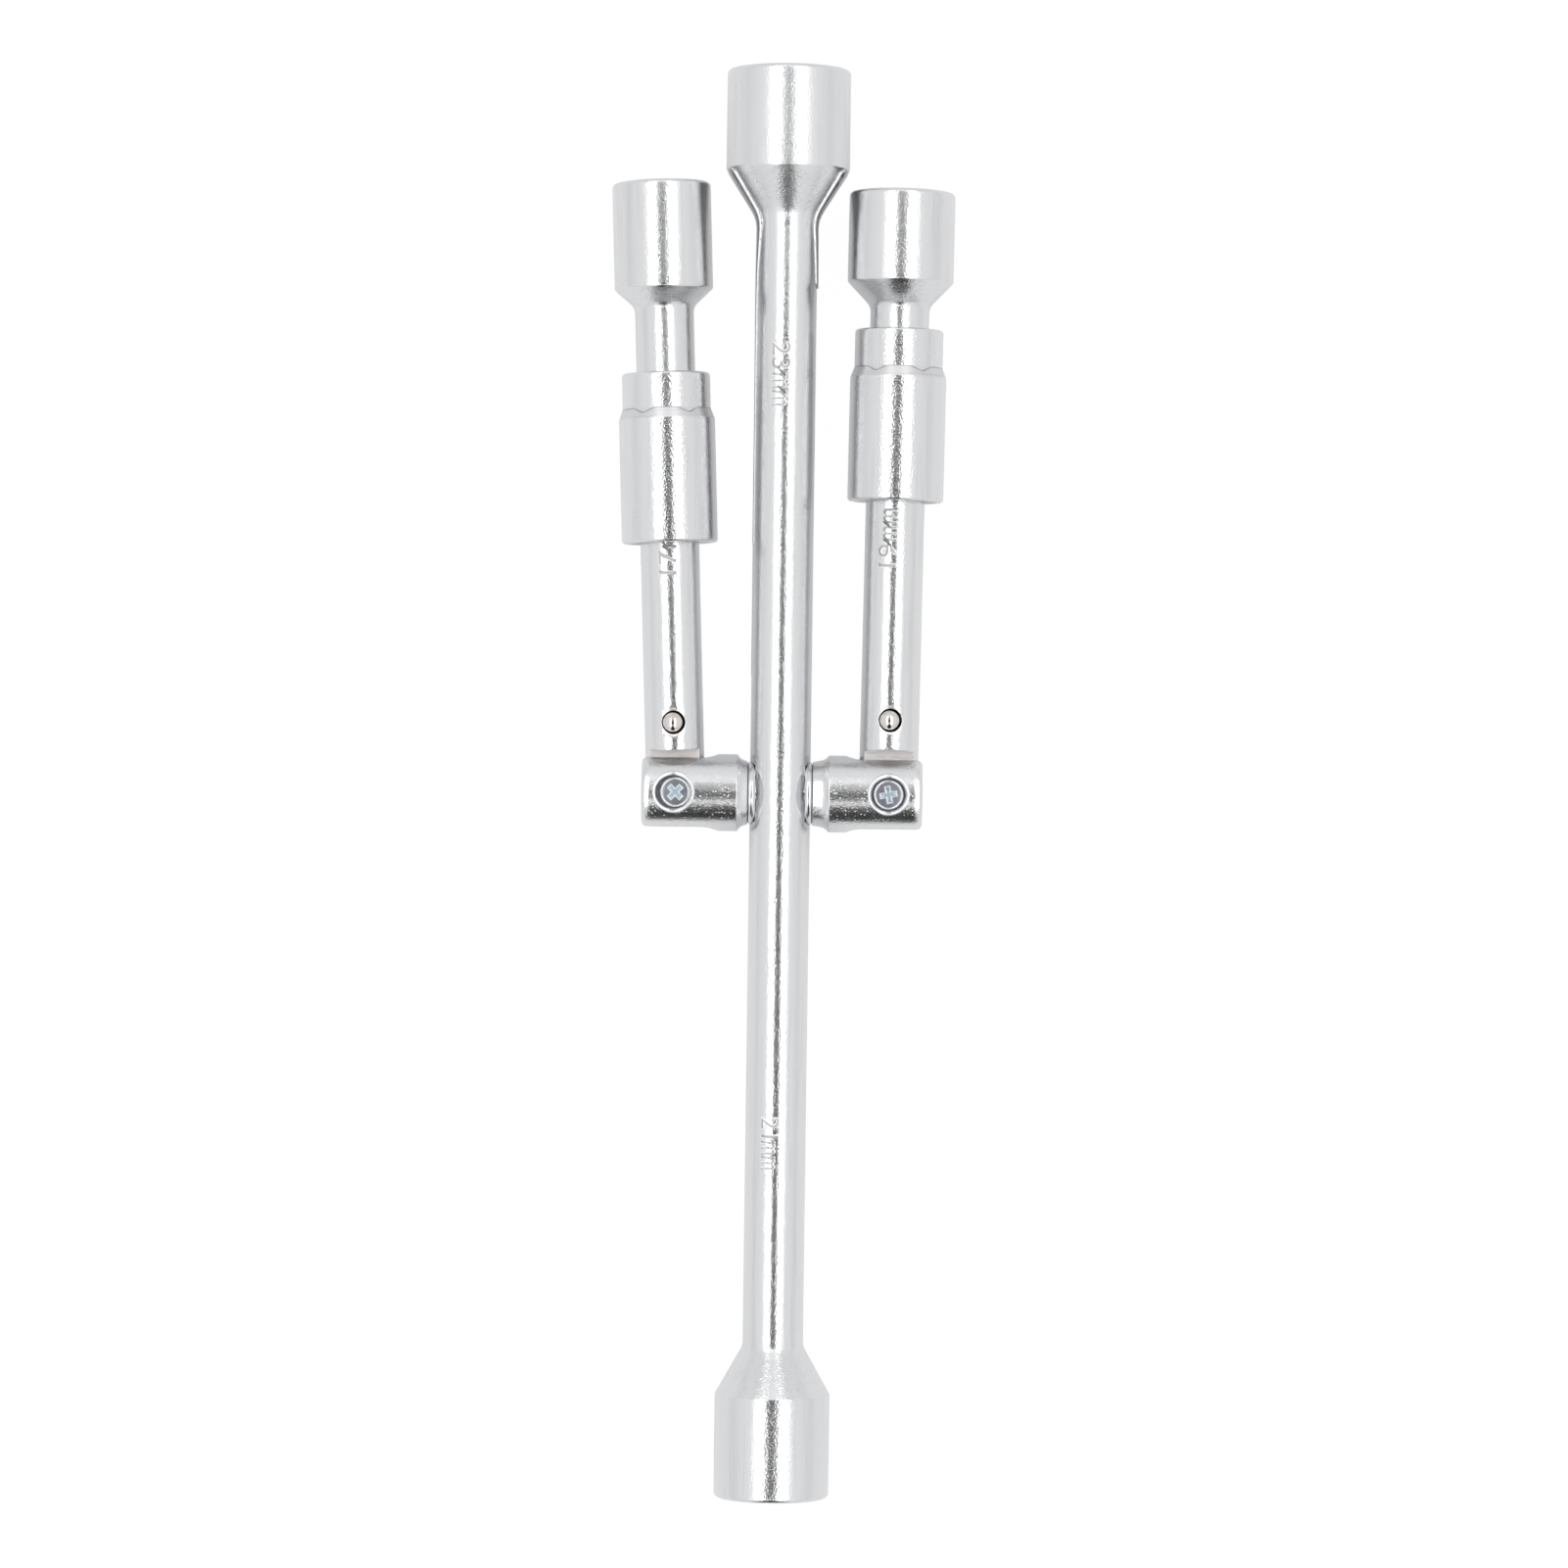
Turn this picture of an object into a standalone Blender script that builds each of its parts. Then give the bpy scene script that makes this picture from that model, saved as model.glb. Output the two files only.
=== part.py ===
"""Folding cross lug wrench: a bar with two hex sockets and two folding arms.

The wrench lies flat, folded. +Y runs along the main bar towards its large
socket, +X to the right arm, and +Z up, out of the screw heads. The origin is
below the middle of the object, on the surface that it lies on.
"""

import math
from typing import NamedTuple

import bmesh
import bpy
from mathutils import Matrix

NAME = "folding_cross_lug_wrench"

# Cross: every arm reaches about as far from the middle
CROSS_REACH = 0.182
CENTRE_SHIFT = 0.0025
RIGHT_SHORTFALL = 0.0008

# Main bar
BAR_RADIUS = 0.0077

# Top socket of the bar
TOP_SOCKET_FLATS = 0.023
TOP_SOCKET_WALL = 0.00247
TOP_SOCKET_STRAIGHT = 0.0245
TOP_TAPER_LENGTH = 0.019

# Bottom socket of the bar
BOTTOM_SOCKET_FLATS = 0.021
BOTTOM_SOCKET_WALL = 0.00253
BOTTOM_SOCKET_STRAIGHT = 0.0263
BOTTOM_CONE_LENGTH = 0.0115

# Flash of the forging, left on the top taper where the dies met
FLASH_HALF_THICKNESS = 0.0008
LEFT_FLASH_PROUD = 0.0005
LEFT_FLASH_LENGTH = 0.111
RIGHT_FLASH_PROUD = 0.0007
RIGHT_FLASH_LENGTH = 0.012

# Every socket
RIM_ROUNDING = 0.0012
HEX_DEPTH = 0.019
LEAD_IN_MARGIN = 0.0002
DRILL_RADIUS_SHARE = 0.45
DRILL_DEPTH = 0.001
TAPER_LEAD_SHARE = 0.85

# Knuckles: a slotted fork, a neck and a spigot
FORK_RADIUS = 0.0098
FORK_TIP = 0.0086
TIP_ROUNDING = 0.0015
SLOT_HALF = 0.0043
SLOT_INBOARD = 0.0109
NECK_RADIUS = 0.00845
LEFT_NECK_LENGTH = 0.00205
RIGHT_NECK_LENGTH = 0.0034
SPIGOT_RADIUS = 0.0047
SPIGOT_MEETING_GAP = 0.0004

# Seat of a knuckle on the bar
SPOT_FACE_DEPTH = 0.0015
RING_RADIUS = 0.0082
RING_WIDTH = 0.0015
RING_CHAMFER = 0.0003

# Pivot hardware, an M5 screw with a thin nut
SHANK_RADIUS = 0.0025
HEAD_RADIUS = 0.0039
HEAD_HEIGHT = 0.0016
HEAD_ROUNDING = 0.0007
RECESS_REACH = 0.0021
RECESS_HALF_WIDTH = 0.0006
RECESS_DEPTH = 0.001
WASHER_RADIUS = 0.0047
WASHER_THICKNESS = 0.0006
LOCK_WASHER_RADIUS = 0.0044
LOCK_WASHER_THICKNESS = 0.0006
LOCK_WASHER_SPLIT = 0.0007
NUT_FLATS = 0.008
NUT_THICKNESS = 0.002
SCREW_TAIL = 0.0001
COUNTERBORE_CLEARANCE = 0.0005
FRONT_WEB = 0.0012
REAR_WEB = 0.0012

# Arms
ARM_RADIUS = 0.0075
FOLD_NESTING = 0.00168
SHOULDER_RADIUS = 0.022

# Left arm
LEFT_SPLAY_DEGREES = 2.1
LEFT_SOCKET_FLATS = 0.017
LEFT_SOCKET_WALL = 0.00274
LEFT_SOCKET_STRAIGHT = 0.0263
LEFT_TAPER_LENGTH = 0.0066
LEFT_BALL_OFFSET = 0.0177
LEFT_SLEEVE_BACK = 0.0157
LEFT_SLEEVE_LENGTH = 0.0433

# Right arm
RIGHT_SPLAY_DEGREES = 0.65
RIGHT_SOCKET_FLATS = 0.019
RIGHT_SOCKET_WALL = 0.00253
RIGHT_SOCKET_STRAIGHT = 0.0226
RIGHT_TAPER_LENGTH = 0.0079
RIGHT_BALL_OFFSET = 0.0189
RIGHT_SLEEVE_BACK = 0.0046
RIGHT_SLEEVE_LENGTH = 0.0438

# Lock sleeves
SLEEVE_WALL = 0.00215
SLEEVE_OVERLAP = 0.0104
SLEEVE_BODY_LENGTH = 0.0315
SLEEVE_CONE_LENGTH = 0.0023
COLLAR_WALL = 0.0034
SLEEVE_ROUNDING = 0.0008
SLEEVE_CHAMFER = 0.0006
GROOVE_HALF_WIDTH = 0.0016

# Spring balls
BALL_RADIUS = 0.003
LIP_SHARE = 0.9
LIP_DROP = 0.0005
DISH_MARGIN = 0.0001
DISH_DEPTH = 0.00025
BALL_HOLE_WALL = 0.003
SPRING_WIRE_RADIUS = 0.0003
SPRING_CLEARANCE = 0.0005
SPRING_TURNS = 5
SPRING_POINTS_PER_TURN = 8

# Clearances
FIT_GAP = 0.0003
SEAT_GAP = 0.0002
SLIDE_GAP = 0.00035
OVERRUN = 0.002

# Fineness of round faces
BODY_STEPS = 32
SMALL_STEPS = 24
RING_STEPS = 24
ARC_STEPS = 2
TAPER_STEPS = 6
NECK_STEPS = 4
NOSE_STEPS = 4
BALL_SEGMENTS = 16
BALL_RINGS = 10
MERGE = 0.00001

# Turns that lay an upright turned piece along an axis
ALONG_Y = (-math.pi / 2, 0, 0)
ALONG_MINUS_Y = (math.pi / 2, 0, 0)
ALONG_X = (0, math.pi / 2, 0)
ALONG_MINUS_X = (0, -math.pi / 2, 0)
UPRIGHT = (0, 0, 0)

CHROME = ((0.78, 0.79, 0.81, 1.0), 1.0, 0.12)
ZINC = ((0.50, 0.54, 0.60, 1.0), 1.0, 0.38)
SPRING_STEEL = ((0.45, 0.45, 0.46, 1.0), 1.0, 0.35)


class Side(NamedTuple):
    """The sizes of one folding arm with its hinge and sleeve."""

    name: str
    sign: int
    splay: float
    tip: float
    flats: float
    wall: float
    straight: float
    taper: float
    ball_offset: float
    sleeve_back: float
    sleeve_length: float
    neck_length: float
    neck_hollow: bool

    @property
    def socket_radius(self):
        """The outer radius of the arm's socket."""
        return socket_radius(self.flats, self.wall)

    @property
    def pivot(self):
        """How far the hinge stands from the bar's axis."""
        room = socket_radius(TOP_SOCKET_FLATS, TOP_SOCKET_WALL) - FOLD_NESTING
        return room + self.socket_radius

    @property
    def pivot_point(self):
        """The hinge's middle, seen from the cross centre."""
        return (self.sign * self.pivot, 0, 0)

    @property
    def reach(self):
        """From the hinge to the rim of the arm's socket."""
        return self.tip - self.pivot

    @property
    def sleeve_rest(self):
        """From the hinge to the open end of the resting sleeve."""
        neck = self.reach - self.straight - self.taper
        return neck - self.sleeve_back - self.sleeve_length

    @property
    def outward(self):
        """The turn that lays an upright piece along this side's knuckle."""
        return ALONG_X if self.sign > 0 else ALONG_MINUS_X


LEFT = Side(
    name="left",
    sign=-1,
    splay=math.radians(LEFT_SPLAY_DEGREES),
    tip=CROSS_REACH,
    flats=LEFT_SOCKET_FLATS,
    wall=LEFT_SOCKET_WALL,
    straight=LEFT_SOCKET_STRAIGHT,
    taper=LEFT_TAPER_LENGTH,
    ball_offset=LEFT_BALL_OFFSET,
    sleeve_back=LEFT_SLEEVE_BACK,
    sleeve_length=LEFT_SLEEVE_LENGTH,
    neck_length=LEFT_NECK_LENGTH,
    neck_hollow=False,
)
RIGHT = Side(
    name="right",
    sign=1,
    splay=math.radians(RIGHT_SPLAY_DEGREES),
    tip=CROSS_REACH - RIGHT_SHORTFALL,
    flats=RIGHT_SOCKET_FLATS,
    wall=RIGHT_SOCKET_WALL,
    straight=RIGHT_SOCKET_STRAIGHT,
    taper=RIGHT_TAPER_LENGTH,
    ball_offset=RIGHT_BALL_OFFSET,
    sleeve_back=RIGHT_SLEEVE_BACK,
    sleeve_length=RIGHT_SLEEVE_LENGTH,
    neck_length=RIGHT_NECK_LENGTH,
    neck_hollow=True,
)


def socket_radius(flats, wall):
    """The outer radius of a socket with this hex and this wall at its corners."""
    return flats / math.sqrt(3) + wall


def bar_top():
    """From the cross centre to the rim of the top socket."""
    return CROSS_REACH + CENTRE_SHIFT


def bar_bottom():
    """From the cross centre to the rim of the bottom socket."""
    return CROSS_REACH - CENTRE_SHIFT


def clear_scene():
    """Removes whatever the file holds."""
    for obj in list(bpy.data.objects):
        bpy.data.objects.remove(obj, do_unlink=True)


def new_collection(name):
    """A collection under the scene's own."""
    collection = bpy.data.collections.new(name)
    bpy.context.scene.collection.children.link(collection)
    return collection


def finish(name, look):
    """A metal with its colour, metallic value and roughness."""
    colour, metallic, roughness = look
    material = bpy.data.materials.new(name)
    material.use_nodes = True
    shader = material.node_tree.nodes["Principled BSDF"]
    shader.inputs["Base Color"].default_value = colour
    shader.inputs["Metallic"].default_value = metallic
    shader.inputs["Roughness"].default_value = roughness
    return material


class Bench:
    """Holds the two collections and puts each new object in one of them."""

    def __init__(self):
        self.parts = new_collection(NAME)
        self.cutters = new_collection("cutters")

    def empty(self, name, parent, location, turn):
        """An empty that carries other objects."""
        obj = bpy.data.objects.new(name, None)
        obj.empty_display_size = BAR_RADIUS
        obj.parent = parent
        obj.location = location
        obj.rotation_euler = turn
        self.parts.objects.link(obj)
        return obj

    def part(self, obj, parent, location, turn, look):
        """A visible piece in its place, with its own material."""
        obj.data.materials.append(finish(obj.name + "_finish", look))
        self.parts.objects.link(obj)
        place(obj, parent, location, turn)
        return obj

    def helper(self, obj, parent, location, turn):
        """A shape that only cuts or joins."""
        self.cutters.objects.link(obj)
        obj.hide_render = True
        obj.display_type = "WIRE"
        place(obj, parent, location, turn)
        return obj


def place(obj, parent, location, turn):
    """Puts an object in its parent's frame."""
    obj.parent = parent
    obj.location = location
    obj.rotation_euler = turn


def arc(centre_radius, centre_height, radius, start, end, steps):
    """Points of an arc in the plane of a turned outline, angles in degrees."""
    points = []
    for step in range(steps + 1):
        angle = math.radians(start + (end - start) * step / steps)
        across = centre_radius + radius * math.cos(angle)
        height = centre_height + radius * math.sin(angle)
        points.append((across, height))
    return points


def turned(name, outline, steps, ring=False):
    """A turned piece about Z. The outline runs down its outer side."""
    mesh = bpy.data.meshes.new(name)
    shape = bmesh.new()
    points = [shape.verts.new((across, 0, height)) for across, height in outline]
    for first, second in zip(points, points[1:]):
        shape.edges.new((first, second))
    if ring:
        shape.edges.new((points[-1], points[0]))
    shape.to_mesh(mesh)
    shape.free()
    obj = bpy.data.objects.new(name, mesh)
    screw = obj.modifiers.new("turn", "SCREW")
    screw.axis = "Z"
    screw.steps = steps
    screw.render_steps = steps
    screw.use_merge_vertices = True
    screw.merge_threshold = MERGE
    screw.use_smooth_shade = True
    return obj


def plate(name, outline, half_thickness):
    """A flat plate: a closed outline in XY, thick along Z."""
    curve = bpy.data.curves.new(name, "CURVE")
    curve.dimensions = "2D"
    curve.fill_mode = "BOTH"
    curve.extrude = half_thickness
    spline = curve.splines.new("POLY")
    spline.points.add(len(outline) - 1)
    for point, (x, y) in zip(spline.points, outline):
        point.co = (x, y, 0, 1)
    spline.use_cyclic_u = True
    return solid_of_curve(name, curve)


def solid_of_curve(name, curve):
    """The closed mesh of a curve, in an object of its own."""
    guide = bpy.data.objects.new(name + "_curve", curve)
    bpy.context.scene.collection.objects.link(guide)
    graph = bpy.context.evaluated_depsgraph_get()
    mesh = bpy.data.meshes.new_from_object(guide.evaluated_get(graph))
    bpy.data.objects.remove(guide, do_unlink=True)
    shape = bmesh.new()
    shape.from_mesh(mesh)
    bmesh.ops.remove_doubles(shape, verts=shape.verts, dist=MERGE)
    bmesh.ops.recalc_face_normals(shape, faces=shape.faces)
    shape.to_mesh(mesh)
    shape.free()
    mesh.name = name
    return bpy.data.objects.new(name, mesh)


def box(name, low, high):
    """A box between two corners."""
    mesh = bpy.data.meshes.new(name)
    shape = bmesh.new()
    bmesh.ops.create_cube(shape, size=1)
    for vertex in shape.verts:
        share = [part + 0.5 for part in vertex.co]
        vertex.co = [a + (b - a) * s for a, b, s in zip(low, high, share)]
    shape.to_mesh(mesh)
    shape.free()
    return bpy.data.objects.new(name, mesh)


def hexagon(name, across_flats, low, high):
    """An upright hexagonal prism with two flats square to Y."""
    mesh = bpy.data.meshes.new(name)
    shape = bmesh.new()
    radius = across_flats / math.sqrt(3)
    bmesh.ops.create_cone(
        shape, cap_ends=True, segments=6, radius1=radius, radius2=radius, depth=high - low
    )
    bmesh.ops.rotate(shape, verts=shape.verts, matrix=Matrix.Rotation(math.pi / 6, 3, "Z"))
    bmesh.ops.translate(shape, verts=shape.verts, vec=(0, 0, (low + high) / 2))
    shape.to_mesh(mesh)
    shape.free()
    return bpy.data.objects.new(name, mesh)


def boolean(target, other, operation):
    """Adds one exact Boolean to a piece."""
    modifier = target.modifiers.new(other.name, "BOOLEAN")
    modifier.operation = operation
    modifier.solver = "EXACT"
    modifier.object = other


def cut(target, other):
    """Takes one shape out of another."""
    boolean(target, other, "DIFFERENCE")


def taper(wide, narrow, wide_height, length, steps):
    """Points of a socket's curved neck, from its wide end to its shaft."""
    points = []
    for step in range(1, steps + 1):
        along = step / steps
        eased = along**TAPER_LEAD_SHARE
        smooth = eased * eased * (3 - 2 * eased)
        points.append((wide - (wide - narrow) * smooth, wide_height - length * along))
    return points


def rim(radius, height):
    """The rounded rim of a socket, from its face to its side."""
    return arc(radius - RIM_ROUNDING, height - RIM_ROUNDING, RIM_ROUNDING, 90, 0, ARC_STEPS)


def cut_socket(bench, body, parent, name, flats, reach, turn):
    """Cuts a hex pocket with its lead-in and drill point into a body."""
    corner_radius = flats / math.sqrt(3)
    floor = reach - HEX_DEPTH
    lead_radius = corner_radius - LEAD_IN_MARGIN
    lead_end = flats / 2 - LEAD_IN_MARGIN
    lead_floor = reach - (lead_radius - lead_end)
    pocket = hexagon(name + "_hex", flats, floor, reach + OVERRUN)
    lead_outline = [
        (0, reach + OVERRUN),
        (lead_radius + OVERRUN, reach + OVERRUN),
        (lead_end, lead_floor),
        (0, lead_floor),
    ]
    lead = turned(name + "_lead", lead_outline, BODY_STEPS)
    drill_radius = flats * DRILL_RADIUS_SHARE
    drill_side = floor - DRILL_DEPTH
    drill_outline = [
        (0, floor + OVERRUN),
        (drill_radius, floor + OVERRUN),
        (drill_radius, drill_side),
        (0, drill_side - drill_radius / math.sqrt(3)),
    ]
    drill = turned(name + "_drill", drill_outline, SMALL_STEPS)
    for cutter in (pocket, lead, drill):
        bench.helper(cutter, parent, (0, 0, 0), turn)
        cut(body, cutter)


def bar_top_side():
    """The bar's outline from its top rim to the end of the top taper."""
    radius = socket_radius(TOP_SOCKET_FLATS, TOP_SOCKET_WALL)
    taper_start = bar_top() - TOP_SOCKET_STRAIGHT
    neck = taper(radius, BAR_RADIUS, taper_start, TOP_TAPER_LENGTH, TAPER_STEPS)
    return rim(radius, bar_top()) + [(radius, taper_start)] + neck


def bar_bottom_side():
    """The bar's outline from the bottom cone to its bottom rim."""
    radius = socket_radius(BOTTOM_SOCKET_FLATS, BOTTOM_SOCKET_WALL)
    cone_wide = BOTTOM_SOCKET_STRAIGHT - bar_bottom()
    side = [(BAR_RADIUS, cone_wide + BOTTOM_CONE_LENGTH), (radius, cone_wide)]
    rim_points = rim(radius, bar_bottom())
    return side + [(across, -height) for across, height in reversed(rim_points)]


def flash(name, sign, proud, length):
    """A fin of flash that follows the top taper and a length of the shaft."""
    radius = socket_radius(TOP_SOCKET_FLATS, TOP_SOCKET_WALL)
    start = bar_top() - TOP_SOCKET_STRAIGHT
    end = start - TOP_TAPER_LENGTH - length
    neck = taper(radius, BAR_RADIUS, start, TOP_TAPER_LENGTH, TAPER_STEPS)
    outline = [(sign * radius, start)]
    outline += [(sign * (across + proud), height) for across, height in neck]
    outline += [
        (sign * (BAR_RADIUS + proud), end + proud),
        (sign * BAR_RADIUS, end),
        (0, end),
        (0, start),
    ]
    return plate(name, outline, FLASH_HALF_THICKNESS)


def make_bar(bench, centre):
    """The main bar with both its sockets, its cross hole and spot faces."""
    outline = [(0, bar_top())] + bar_top_side() + bar_bottom_side()
    outline.append((0, -bar_bottom()))
    bar = turned("main_bar", outline, BODY_STEPS)
    bench.part(bar, centre, (0, 0, 0), ALONG_Y, CHROME)
    left_fin = flash("left_flash", -1, LEFT_FLASH_PROUD, LEFT_FLASH_LENGTH)
    right_fin = flash("right_flash", 1, RIGHT_FLASH_PROUD, RIGHT_FLASH_LENGTH)
    for fin in (left_fin, right_fin):
        bench.helper(fin, centre, (0, 0, 0), UPRIGHT)
        boolean(bar, fin, "UNION")
    cut_socket(bench, bar, centre, "top", TOP_SOCKET_FLATS, bar_top(), ALONG_Y)
    cut_socket(bench, bar, centre, "bottom", BOTTOM_SOCKET_FLATS, bar_bottom(), ALONG_MINUS_Y)
    seat_outline = [
        (0, BAR_RADIUS + OVERRUN),
        (RING_RADIUS + FIT_GAP, BAR_RADIUS + OVERRUN),
        (RING_RADIUS + FIT_GAP, spot_face()),
        (SPIGOT_RADIUS + FIT_GAP, spot_face()),
        (SPIGOT_RADIUS + FIT_GAP, -OVERRUN),
        (0, -OVERRUN),
    ]
    for side in (LEFT, RIGHT):
        seat = turned(side.name + "_seat", seat_outline, BODY_STEPS)
        bench.helper(seat, centre, (0, 0, 0), side.outward)
        cut(bar, seat)


def spot_face():
    """Distance from the bar's axis to the flat seat of a weld ring."""
    return BAR_RADIUS - SPOT_FACE_DEPTH


def ring_face():
    """Distance from the bar's axis to the outer face of a weld ring."""
    return spot_face() + FIT_GAP + RING_WIDTH


def knuckle_shoulder():
    """Distance from the bar's axis to a knuckle's seat on its ring."""
    return ring_face() + FIT_GAP


def front_floor():
    """Height of the counterbore's floor under the washer."""
    return SLOT_HALF + FRONT_WEB


def rear_floor():
    """Depth of the counterbore's floor under the lock washer."""
    return SLOT_HALF + REAR_WEB


def make_ring(bench, centre, side):
    """The chamfered seat ring between a knuckle and the bar."""
    top = ring_face()
    low = spot_face() + FIT_GAP
    inner = SPIGOT_RADIUS + FIT_GAP
    outline = [
        (RING_RADIUS - RING_CHAMFER, top),
        (RING_RADIUS, top - RING_CHAMFER),
        (RING_RADIUS, low + RING_CHAMFER),
        (RING_RADIUS - RING_CHAMFER, low),
        (inner, low),
        (inner, top),
    ]
    ring = turned(side.name + "_weld_ring", outline, RING_STEPS, ring=True)
    bench.part(ring, centre, (0, 0, 0), side.outward, CHROME)


def nut_corner():
    """The radius of the nut over its corners."""
    return NUT_FLATS / math.sqrt(3)


def pivot_cutter(name):
    """The pivot hole with a counterbore on each side."""
    hole = SHANK_RADIUS + FIT_GAP
    top = FORK_RADIUS + OVERRUN
    front = max(WASHER_RADIUS, HEAD_RADIUS) + COUNTERBORE_CLEARANCE
    rear = max(LOCK_WASHER_RADIUS, nut_corner()) + COUNTERBORE_CLEARANCE
    outline = [
        (0, top),
        (front, top),
        (front, front_floor()),
        (hole, front_floor()),
        (hole, -rear_floor()),
        (rear, -rear_floor()),
        (rear, -top),
        (0, -top),
    ]
    return turned(name, outline, SMALL_STEPS)


def slot_outline(side):
    """The fork's slot seen from its side, with a full radius at its root."""
    centre_x = side.pivot - SLOT_INBOARD + SLOT_HALF
    end_x = side.pivot + FORK_TIP + OVERRUN
    points = [(end_x, -SLOT_HALF), (end_x, SLOT_HALF)]
    for step in range(2 * NOSE_STEPS + 1):
        angle = math.pi / 2 + math.pi * step / (2 * NOSE_STEPS)
        x = centre_x + SLOT_HALF * math.cos(angle)
        points.append((x, SLOT_HALF * math.sin(angle)))
    return [(side.sign * x, z) for x, z in points]


def neck(side):
    """Points of a knuckle's neck, from the fork down to its seat on the ring."""
    low = knuckle_shoulder()
    if not side.neck_hollow:
        return [(FORK_RADIUS, low + side.neck_length), (NECK_RADIUS, low)]
    turn = 2 * math.atan2(FORK_RADIUS - NECK_RADIUS, side.neck_length)
    radius = side.neck_length / math.sin(turn)
    start = math.degrees(math.pi - turn)
    return arc(NECK_RADIUS + radius, low, radius, start, math.degrees(math.pi), NECK_STEPS)


def make_knuckle(bench, centre, side):
    """A fork stub: slotted fork, neck and spigot, and pivot counterbores."""
    tip = side.pivot + FORK_TIP
    outline = [(0, tip)]
    outline += arc(FORK_RADIUS - TIP_ROUNDING, tip - TIP_ROUNDING, TIP_ROUNDING, 90, 0, ARC_STEPS)
    outline += neck(side)
    outline += [
        (SPIGOT_RADIUS, knuckle_shoulder()),
        (SPIGOT_RADIUS, SPIGOT_MEETING_GAP),
        (0, SPIGOT_MEETING_GAP),
    ]
    knuckle = turned(side.name + "_knuckle", outline, BODY_STEPS)
    bench.part(knuckle, centre, (0, 0, 0), side.outward, CHROME)
    slot = plate(side.name + "_slot", slot_outline(side), FORK_RADIUS + OVERRUN)
    bench.helper(slot, centre, (0, 0, 0), (math.pi / 2, 0, 0))
    cut(knuckle, slot)
    pivot = pivot_cutter(side.name + "_pivot_cut")
    bench.helper(pivot, centre, side.pivot_point, UPRIGHT)
    cut(knuckle, pivot)


def washer_top():
    """Height of the flat washer's upper face."""
    return front_floor() + SEAT_GAP + WASHER_THICKNESS


def nut_seat():
    """Depth at which the nut starts, past the lock washer."""
    return rear_floor() + SEAT_GAP + LOCK_WASHER_THICKNESS + SEAT_GAP


def make_screw(bench, centre, side):
    """The pivot screw, with a rounded head and a cross recess."""
    under = washer_top() + SEAT_GAP
    top = under + HEAD_HEIGHT
    end = nut_seat() + NUT_THICKNESS - SCREW_TAIL
    outline = [(0, top)]
    outline += arc(
        HEAD_RADIUS - HEAD_ROUNDING, top - HEAD_ROUNDING, HEAD_ROUNDING, 90, 0, ARC_STEPS
    )
    outline += [(HEAD_RADIUS, under), (SHANK_RADIUS, under), (SHANK_RADIUS, -end), (0, -end)]
    screw = turned(side.name + "_pivot_screw", outline, SMALL_STEPS)
    bench.part(screw, centre, side.pivot_point, UPRIGHT, ZINC)
    recess = plate(side.name + "_recess", cross_outline(), RECESS_DEPTH)
    bench.helper(recess, centre, (side.pivot_point[0], 0, top), (0, 0, math.pi / 4))
    cut(screw, recess)


def cross_outline():
    """The plan of a cross recess."""
    long = RECESS_REACH
    half = RECESS_HALF_WIDTH
    quarter = [(half, half), (half, long), (-half, long)]
    points = []
    for turn in range(4):
        for x, y in quarter:
            for _ in range(turn):
                x, y = -y, x
            points.append((x, y))
    return points


def washer_outline(outer, low, high):
    """The section of a flat ring round the screw's shank."""
    inner = SHANK_RADIUS + FIT_GAP
    return [(outer, high), (outer, low), (inner, low), (inner, high)]


def make_washers(bench, centre, side):
    """The flat washer under the head and the split one under the nut."""
    at = side.pivot_point
    low = front_floor() + SEAT_GAP
    flat = turned(
        side.name + "_pivot_washer",
        washer_outline(WASHER_RADIUS, low, washer_top()),
        SMALL_STEPS,
        ring=True,
    )
    bench.part(flat, centre, at, UPRIGHT, ZINC)
    high = -(rear_floor() + SEAT_GAP)
    split_low = high - LOCK_WASHER_THICKNESS
    split = turned(
        side.name + "_lock_washer",
        washer_outline(LOCK_WASHER_RADIUS, split_low, high),
        SMALL_STEPS,
        ring=True,
    )
    bench.part(split, centre, at, UPRIGHT, ZINC)
    half = LOCK_WASHER_SPLIT / 2
    gap = box(
        side.name + "_split",
        (0, -half, split_low - OVERRUN),
        (LOCK_WASHER_RADIUS + OVERRUN, half, high + OVERRUN),
    )
    bench.helper(gap, centre, at, (0, 0, math.pi / 4))
    cut(split, gap)


def make_nut(bench, centre, side):
    """The thin hex nut at the back of the hinge."""
    at = side.pivot_point
    high = -nut_seat()
    low = high - NUT_THICKNESS
    nut = hexagon(side.name + "_pivot_nut", NUT_FLATS, low, high)
    bench.part(nut, centre, at, UPRIGHT, ZINC)
    outside = nut_corner() + OVERRUN
    face = NUT_FLATS / 2
    chamfer_rise = (outside - face) / math.sqrt(3)
    blank_outline = [
        (0, high + OVERRUN),
        (outside, high + OVERRUN),
        (outside, low + chamfer_rise),
        (face, low),
        (0, low),
    ]
    blank = turned(side.name + "_nut_blank", blank_outline, SMALL_STEPS)
    bench.helper(blank, centre, at, UPRIGHT)
    boolean(nut, blank, "INTERSECT")
    hole_radius = SHANK_RADIUS + FIT_GAP
    hole_outline = [
        (0, high + OVERRUN),
        (hole_radius, high + OVERRUN),
        (hole_radius, low - OVERRUN),
        (0, low - OVERRUN),
    ]
    hole = turned(side.name + "_nut_hole", hole_outline, SMALL_STEPS)
    bench.helper(hole, centre, at, UPRIGHT)
    cut(nut, hole)


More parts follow.
